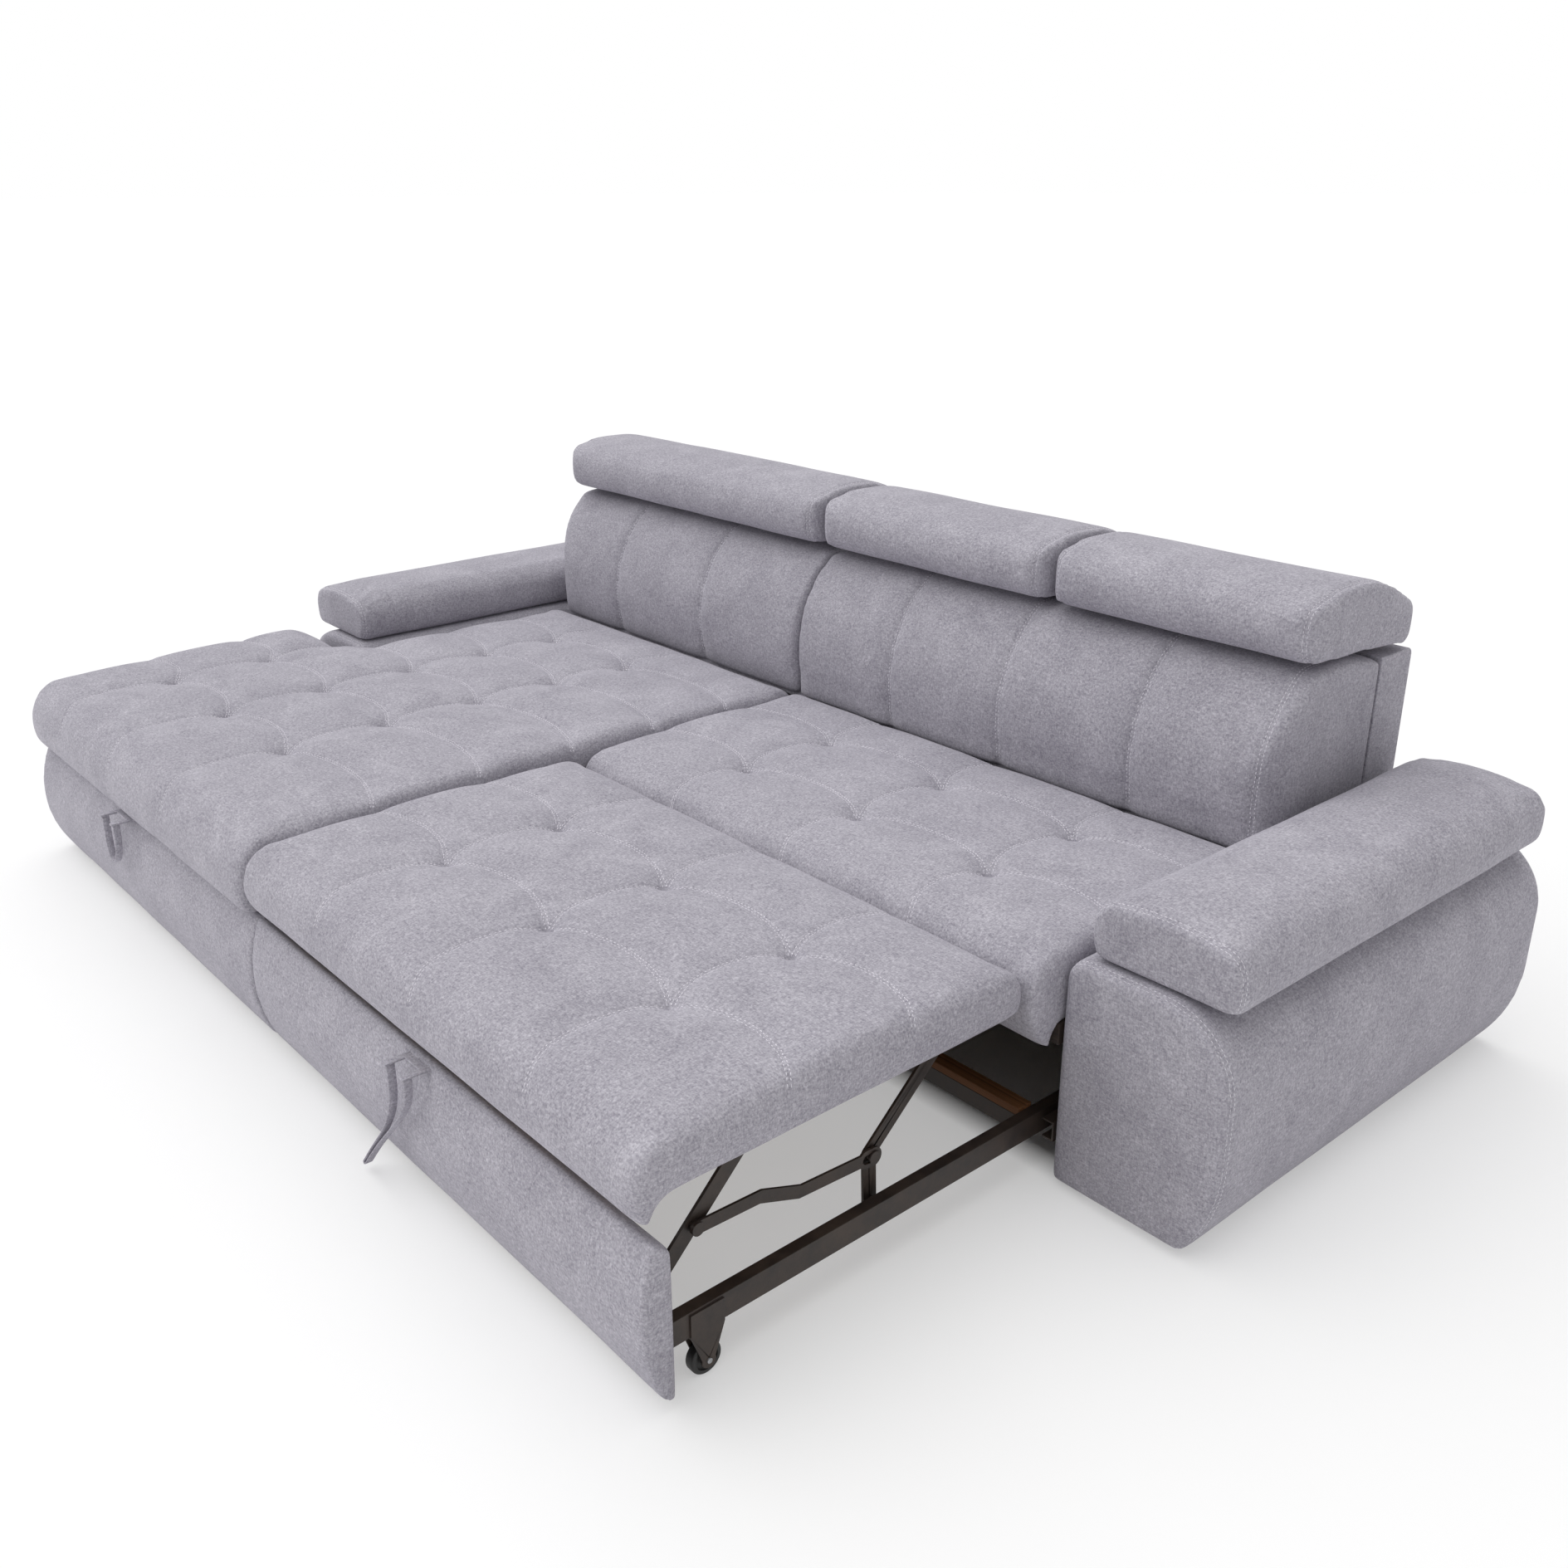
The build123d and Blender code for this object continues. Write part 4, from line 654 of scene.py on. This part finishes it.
for side in ("left", "right"):
    low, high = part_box(f"back_cushion_{side}")
    places = [(x, back["depth"]) for x in back[side]]
    if side == "right":
        places.append((high.x - back["endCap"], back["capDepth"]))
    startCushion(f"backCushion{side.title()}", f"back_cushion_{side}", "base", back["voxel"], back["smoothing"],
                 channelSeams(places), (), heldBehind, topCap=back["cap"], sideCap=back["cap"],
                 shape=lambda place: plump(place, back["tuck"][side]))

# Headrests: box-ended pads with a twin-stitched seam near each end
headrest = dict(endCap=0.02, voxel=0.010, smoothing=4, depth=0.003, width=0.006, seamY=0.80, heldY=0.78,
                heldSlope=-0.3, topCap=0.004, sideCap=0.003, sag=0.008, sagY=(0.70, 0.52), sagZ=(0.79, 0.735))


def sagFront(place):
    place.z -= headrest["sag"] * share(place.y, *headrest["sagY"]) * share(place.z, *headrest["sagZ"])


for side in ("left", "middle", "right"):
    low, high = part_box(f"headrest_{side}")
    ends = (low.x + headrest["endCap"], high.x - headrest["endCap"])

    def headrestSeams(piece):
        found = []
        for x in ends:
            for line in sliceLines(piece, Vector((x, 0, 0)), Vector((1, 0, 0)), lambda p: p.y < headrest["seamY"]):
                found.append(seam(line, headrest["depth"], headrest["width"]))
        return found

    def heldHeadrest(place, normal):
        inside = ends[0] <= place.x <= ends[1] and place.y <= headrest["heldY"]
        return normal.z < headrest["heldSlope"] or not inside

    startCushion(f"headrestPad{side.title()}", f"headrest_{side}", f"{side}_headrest", headrest["voxel"],
                 headrest["smoothing"], headrestSeams, (), heldHeadrest, topCap=headrest["topCap"],
                 sideCap=headrest["sideCap"], shape=sagFront)

# Arms: firm boxes with a seam round the front face, and a softer pad on top with a sewn front cap
arm = dict(seamBack=0.012, voxel=0.0075, smoothing=4, depth=0.0025, width=0.005, uneven=0.0012, wave=0.22,
           floorZ=0.03, padSeamBack=0.010, padVoxel=0.009, padSmoothing=3, padDepth=0.003, padWidth=0.006,
           padHeld=(-0.2, 0.5), padTopCap=0.006, padSideCap=0.003)


def heldArmPad(place, normal):
    below, rear = arm["padHeld"]
    return normal.z < below or place.y < capY or normal.y > rear


for side in ("right", "left"):
    low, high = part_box(f"{side}_arm_body")
    frontY = low.y + arm["seamBack"]
    startCushion(f"{side}Arm", f"{side}_arm_body", "base", arm["voxel"], arm["smoothing"], lambda piece: [
        seam(line, arm["depth"], arm["width"])
        for line in sliceLines(piece, Vector((0, frontY, 0)), Vector((0, 1, 0)), lambda p: p.z > arm["floorZ"])],
        padded=False, uneven=arm["uneven"], wave=arm["wave"], levels=0)
    low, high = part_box(f"{side}_arm_pad")
    capY = low.y + arm["padSeamBack"]
    startCushion(f"{side}ArmPad", f"{side}_arm_pad", "base", arm["padVoxel"], arm["padSmoothing"], lambda piece: [
        seam(line, arm["padDepth"], arm["padWidth"])
        for line in sliceLines(piece, Vector((0, capY, 0)), Vector((0, 1, 0)), lambda p: True)],
        (), heldArmPad, topCap=arm["padTopCap"], sideCap=arm["padSideCap"])

# Upholstered fronts and the chaise's side
panel = dict(voxel=0.007, smoothing=4, uneven=0.0014, wave=0.18)
for name, node, body in (("drawerFront", "drawer_front_panel", "drawer"),
                         ("chaiseFront", "chaise_front_panel", "base"),
                         ("chaiseSide", "chaise_side_panel", "base")):
    startCushion(name, node, body, panel["voxel"], panel["smoothing"], lambda piece: [], padded=False,
                 uneven=panel["uneven"], wave=panel["wave"], levels=0)

fillCushions()
for seed, cushion in enumerate(cushions):
    finishCushion(cushion, seed + 1)
print("soft pieces finished:", len(cushions))

# Boards under fabric: the same velour stretched over the rear shell and over the ledge, with softened edges
cover = dict(bevel=0.0035, segments=3, sharp=35, weld=0.0001, flat=0.02)


def boardCover(name, node, body):
    mesh = nodes[node].data.copy()
    mesh.name = name
    piece = show(name, mesh)
    bm = bmesh.new()
    bm.from_mesh(mesh)
    bmesh.ops.remove_doubles(bm, verts=bm.verts, dist=cover["weld"])
    bmesh.ops.dissolve_limit(bm, angle_limit=cover["flat"], verts=bm.verts, edges=bm.edges)
    sharp = [e for e in bm.edges if len(e.link_faces) == 2 and e.calc_face_angle() > math.radians(cover["sharp"])]
    bmesh.ops.bevel(bm, geom=sharp, offset=cover["bevel"], offset_type="OFFSET", affect="EDGES",
                    segments=cover["segments"], profile=0.5, material=-1, clamp_overlap=True)
    bm.to_mesh(mesh)
    bm.free()
    mesh.materials.clear()
    mesh.materials.append(looks["upholstery"])
    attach(piece, body)
    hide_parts(node)
    return piece


rear = dict(seams=[-0.36, 0.36], footZ=0.03, topDrop=0.016)
rearCover = boardCover("rearCover", "back_shell", "base")
boardCover("ledgeCover", "back_ledge_board", "base")
low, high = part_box("back_shell")
rearSeams = [seam([Vector((x, high.y, rear["footZ"])), Vector((x, high.y, high.z - rear["topDrop"]))])
             for x in rear["seams"]]
stitchRows("rearCoverStitches", rearCover, rearSeams, "base")

# Black spunbond tacked under the main seat's frame and down the back of the drawer's bay: a dust cloth under the
# seat, and painted shade that darkens the bay
lining = dict(clear=0.002, inset=0.012, sag=0.006, cells=40, footZ=0.025, rearGap=0.02,
              slack=0.8, ripple=0.4, ripples=6)


def liningSheet(name, corner, along, across, sagging):
    bm = bmesh.new()
    bmesh.ops.create_grid(bm, x_segments=lining["cells"], y_segments=lining["cells"] // 2, size=0.5)
    for vertex in bm.verts:
        u, v = vertex.co.x, vertex.co.y
        ripple = lining["ripple"] * noise.noise(Vector((u, v, 0)) * lining["ripples"])
        loose = (1 - (2 * u) ** 4) * (1 - (2 * v) ** 4) * (lining["slack"] + ripple)
        vertex.co = corner + along * (u + 0.5) + across * (v + 0.5) + sagging * (lining["sag"] * loose)
    mesh = meshOf(bm, name)
    sheet = show(name, mesh)
    mesh.materials.append(looks["lining"])
    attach(sheet, "base")


low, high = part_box("main_seat_frame")
inset, wide = lining["inset"], high.x - low.x - 2 * lining["inset"]
liningSheet("seatLiningShade", Vector((low.x + inset, low.y + inset, low.z - lining["clear"])), Vector((wide, 0, 0)),
            Vector((0, high.y - low.y - 2 * inset, 0)), -up)
# The sheet down the back of the bay is painted shade: a black backdrop where the deep shadow under the seat falls
liningSheet("bayShadeSheet", Vector((low.x + inset, high.y - lining["rearGap"], lining["footZ"])), Vector((wide, 0, 0)),
            Vector((0, 0, low.z - lining["footZ"])), Vector((0, 1, 0)))

# Pull straps: flat velour loops on their route, read from a smooth spline
strap = dict(width=0.014, thickness=0.0024, planeY=-0.874, steps=8, roll=0.0012, leg=0.012, bar=0.016, edge=0.0008)
pullRoute = [(0.520, 0.258), (0.519, 0.230), (0.507, 0.200), (0.478, 0.164), (0.438, 0.122), (0.402, 0.084),
             (0.3745, 0.053), (0.356, 0.031), (0.3475, 0.0207), (0.341, 0.013), (0.337, 0.017), (0.3435, 0.0245),
             (0.3665, 0.053), (0.393, 0.084), (0.426, 0.122), (0.4535, 0.164), (0.466, 0.202), (0.467, 0.232),
             (0.466, 0.258)]
loopRoute = [(-0.716, 0.258), (-0.716, 0.234), (-0.722, 0.206), (-0.736, 0.178), (-0.756, 0.160),
             (-0.774, 0.166), (-0.781, 0.190), (-0.782, 0.216), (-0.780, 0.238), (-0.780, 0.258)]


def splinePoints(name, route):
    curve = bpy.data.curves.new(name, "CURVE")
    curve.dimensions = "3D"
    spline = curve.splines.new("NURBS")
    spline.points.add(len(route) - 1)
    for point, (x, z) in zip(spline.points, route):
        point.co = (x, strap["planeY"], z, 1)
    spline.order_u = 3
    spline.use_endpoint_u = True
    spline.resolution_u = strap["steps"]
    carrier = show(name, curve)
    graph = bpy.context.evaluated_depsgraph_get()
    mesh = bpy.data.meshes.new_from_object(carrier.evaluated_get(graph))
    points = [v.co.copy() for v in mesh.vertices]
    bpy.data.objects.remove(carrier)
    bpy.data.meshes.remove(mesh)
    return points


def strapTab(name, node, body):
    # The two ends of the strap, folded back under the pad to a bar of the same fabric
    low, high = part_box(node)
    left, right, inner = low.x + strap["leg"], high.x - strap["leg"], high.y - strap["bar"]
    outline = [(low.x, low.y), (left, low.y), (left, inner), (right, inner), (right, low.y), (high.x, low.y),
               (high.x, high.y), (low.x, high.y)]
    bm = bmesh.new()
    sole = bm.faces.new([bm.verts.new((x, y, low.z)) for x, y in outline])
    raised = bmesh.ops.extrude_face_region(bm, geom=[sole])["geom"]
    bmesh.ops.translate(bm, verts=[v for v in raised if isinstance(v, bmesh.types.BMVert)], vec=up * (high.z - low.z))
    bmesh.ops.recalc_face_normals(bm, faces=bm.faces)
    bmesh.ops.bevel(bm, geom=bm.edges[:], offset=strap["edge"], offset_type="OFFSET", affect="EDGES", segments=2,
                    profile=0.5, material=-1, clamp_overlap=True)
    mesh = meshOf(bm, name)
    piece = show(name, mesh)
    mesh.materials.append(looks["strap_fabric"])
    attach(piece, body)
    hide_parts(node)
    return piece


def strapLoop(name, node, tab, body, route):
    points = splinePoints(name + "Route", route)
    bm = bmesh.new()
    across = Vector((0, 1, 0))
    half, thick = strap["width"] / 2, strap["thickness"] / 2
    flat = half - strap["roll"]
    rim = [(-half, -0.4), (-flat, -1), (flat, -1), (half, -0.4), (half, 0.4), (flat, 1), (-flat, 1), (-half, 0.4)]
    loop = []
    for i, point in enumerate(points):
        tangent = (points[min(i + 1, len(points) - 1)] - points[max(i - 1, 0)]).normalized()
        outward = tangent.cross(across)
        ring = [bm.verts.new(point + across * w + outward * (t * thick)) for w, t in rim]
        edges = [bm.edges.new((ring[k], ring[(k + 1) % len(ring)])) for k in range(len(ring))]
        if loop:
            bmesh.ops.bridge_loops(bm, edges=loop + edges)
        else:
            bm.faces.new(ring)
        loop = edges
    bm.faces.new([edge.verts[0] for edge in loop])
    bmesh.ops.recalc_face_normals(bm, faces=bm.faces)
    mesh = meshOf(bm, name)
    shadeSmooth(mesh)
    piece = show(name, mesh)
    mesh.materials.append(looks["strap_fabric"])
    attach(piece, body)
    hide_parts(node)
    strapTab(name + "Tab", tab, body)


strapLoop("pullStrap", "pull_strap", "pull_strap_tab", "drawer", pullRoute)
strapLoop("chaiseLoop", "chaise_loop", "chaise_loop_tab", "chaise_lid", loopRoute)

# Frames, boards, steel and plastic keep their solids, with softened edges and their finish
dressing = dict(weld=0.00005, sharp=40, segments=2)
edgeRadius = {"black_steel": 0.0007, "timber": 0.0012, "plywood": 0.0008, "black_nylon": 0.0006, "zinc_steel": 0.0004}
slotOf = {part["node"]: part["material_slot"] for part in frame["record"]["subparts"]}
for name, node in nodes.items():
    if node.hide_render:
        continue
    finish = slotOf[name]
    node.data.materials.clear()
    node.data.materials.append(looks["dark_timber" if name == "main_seat_frame" else finish])
    if finish in edgeRadius:
        weld = node.modifiers.new("weld", "WELD")
        weld.merge_threshold = dressing["weld"]
        soften = node.modifiers.new("soften", "BEVEL")
        soften.width, soften.segments = edgeRadius[finish], dressing["segments"]
        soften.limit_method, soften.angle_limit = "ANGLE", math.radians(dressing["sharp"])
print("solids dressed")

# Floor, light and camera
studio = dict(colour="#ffffff", white=1.0, ambient=0.5)
floor = dict(size=400.0, low="#f9f9f9", high="#fbfbfb", fibreMm=400,
             lift=0.4,  # pales the shadow that is seen, and stops under the seat, where the shadow stays deep
             behindBatten=0.06, soft=0.06)


def seenRays(holder):
    # 1 for what the camera sees, straight, mirrored or through something clear, and 0 for light on the object
    ray = addNode(holder, "ShaderNodeLightPath")
    looked = addNode(holder, "ShaderNodeMath", {"operation": "MAXIMUM"},
                     {0: ray.outputs["Is Camera Ray"], 1: ray.outputs["Is Glossy Ray"]})
    seen = addNode(holder, "ShaderNodeMath", {"operation": "MAXIMUM"},
                   {0: looked.outputs[0], 1: ray.outputs["Is Transmission Ray"]})
    return seen.outputs[0]


bm = bmesh.new()
bmesh.ops.create_grid(bm, x_segments=2, y_segments=2, size=floor["size"] / 2)
mesh = meshOf(bm, "studioFloor")
studioFloor = show("studioFloor", mesh)
paper = newMaterial("paperFloor")
spot = addNode(paper, "ShaderNodeTexCoord").outputs["Object"]
fibre = addNode(paper, "ShaderNodeTexNoise", {"Scale": perMm(floor["fibreMm"])}, {"Vector": spot})
tint = addNode(paper, "ShaderNodeValToRGB",
               {"stops": [(0.0, hexColour(floor["low"])), (1.0, hexColour(floor["high"]))]},
               {"Fac": fibre.outputs["Fac"]})
matt = addNode(paper, "ShaderNodeBsdfPrincipled", {"Roughness": 0.9, "Specular IOR Level": 0.1},
               {"Base Color": tint.outputs["Color"]})
white = addNode(paper, "ShaderNodeEmission", {"Color": hexColour(studio["colour"]), "Strength": studio["white"]})

# The paling stops behind the batten, in the bay under the seat
seatLow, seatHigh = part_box("main_seat_frame")
darkLow = Vector((seatLow.x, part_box("drawer_batten")[1].y + floor["behindBatten"], 0))
darkHigh = Vector((seatHigh.x, seatHigh.y, 0))
offset = addNode(paper, "ShaderNodeVectorMath", {"operation": "SUBTRACT", 1: (darkLow + darkHigh) / 2}, {0: spot})
reach = addNode(paper, "ShaderNodeVectorMath", {"operation": "ABSOLUTE"}, {0: offset.outputs["Vector"]})
past = addNode(paper, "ShaderNodeVectorMath", {"operation": "SUBTRACT", 1: (darkHigh - darkLow) / 2},
               {0: reach.outputs["Vector"]})
sides = addNode(paper, "ShaderNodeSeparateXYZ", None, {"Vector": past.outputs["Vector"]})
outside = addNode(paper, "ShaderNodeMath", {"operation": "MAXIMUM"}, {0: sides.outputs["X"], 1: sides.outputs["Y"]})
lift = addNode(paper, "ShaderNodeMapRange", {"From Max": floor["soft"], "To Max": floor["lift"]},
               {"Value": outside.outputs[0]})
paled = addNode(paper, "ShaderNodeMath", {"operation": "MULTIPLY"}, {0: lift.outputs["Result"], 1: seenRays(paper)})
mixed = addNode(paper, "ShaderNodeMixShader", None,
                {0: paled.outputs[0], 1: matt.outputs["BSDF"], 2: white.outputs["Emission"]})
addNode(paper, "ShaderNodeOutputMaterial", None, {"Surface": mixed.outputs["Shader"]})
mesh.materials.append(paper)

# White studio: white where it is seen or mirrored, dimmer as light, with one broad lamp above
world = bpy.data.worlds.new("studio")
bpy.context.scene.world = world
world.use_nodes = True
world.node_tree.nodes.clear()
level = addNode(world, "ShaderNodeMapRange", {"To Min": studio["ambient"], "To Max": studio["white"]},
                {"Value": seenRays(world)})
glow = addNode(world, "ShaderNodeBackground", {"Color": hexColour(studio["colour"])},
               {"Strength": level.outputs["Result"]})
addNode(world, "ShaderNodeOutputWorld", None, {"Surface": glow.outputs["Background"]})

lamp = dict(tilt=(10, -24, 0), spread=90, power=2.04)
light = bpy.data.lights.new("overhead", "SUN")
light.energy, light.angle = lamp["power"], math.radians(lamp["spread"])
show("overhead", light).rotation_euler = [math.radians(turn) for turn in lamp["tilt"]]

view = dict(place=(2.2925, -1.6824, 1.4625), yaw=49.143, pitch=21.7557, roll=-0.136, lens=34.50, sensor=36.0)
camera = show("camera", bpy.data.cameras.new("camera"))
camera.data.lens, camera.data.sensor_width = view["lens"], view["sensor"]
turn = (Matrix.Rotation(math.radians(view["yaw"]), 4, "Z")
        @ Matrix.Rotation(math.radians(90 - view["pitch"]), 4, "X")
        @ Matrix.Rotation(math.radians(view["roll"]), 4, "Z"))
camera.matrix_world = Matrix.Translation(view["place"]) @ turn
bpy.context.scene.camera = camera
bpy.context.scene.view_settings.view_transform = "Standard"
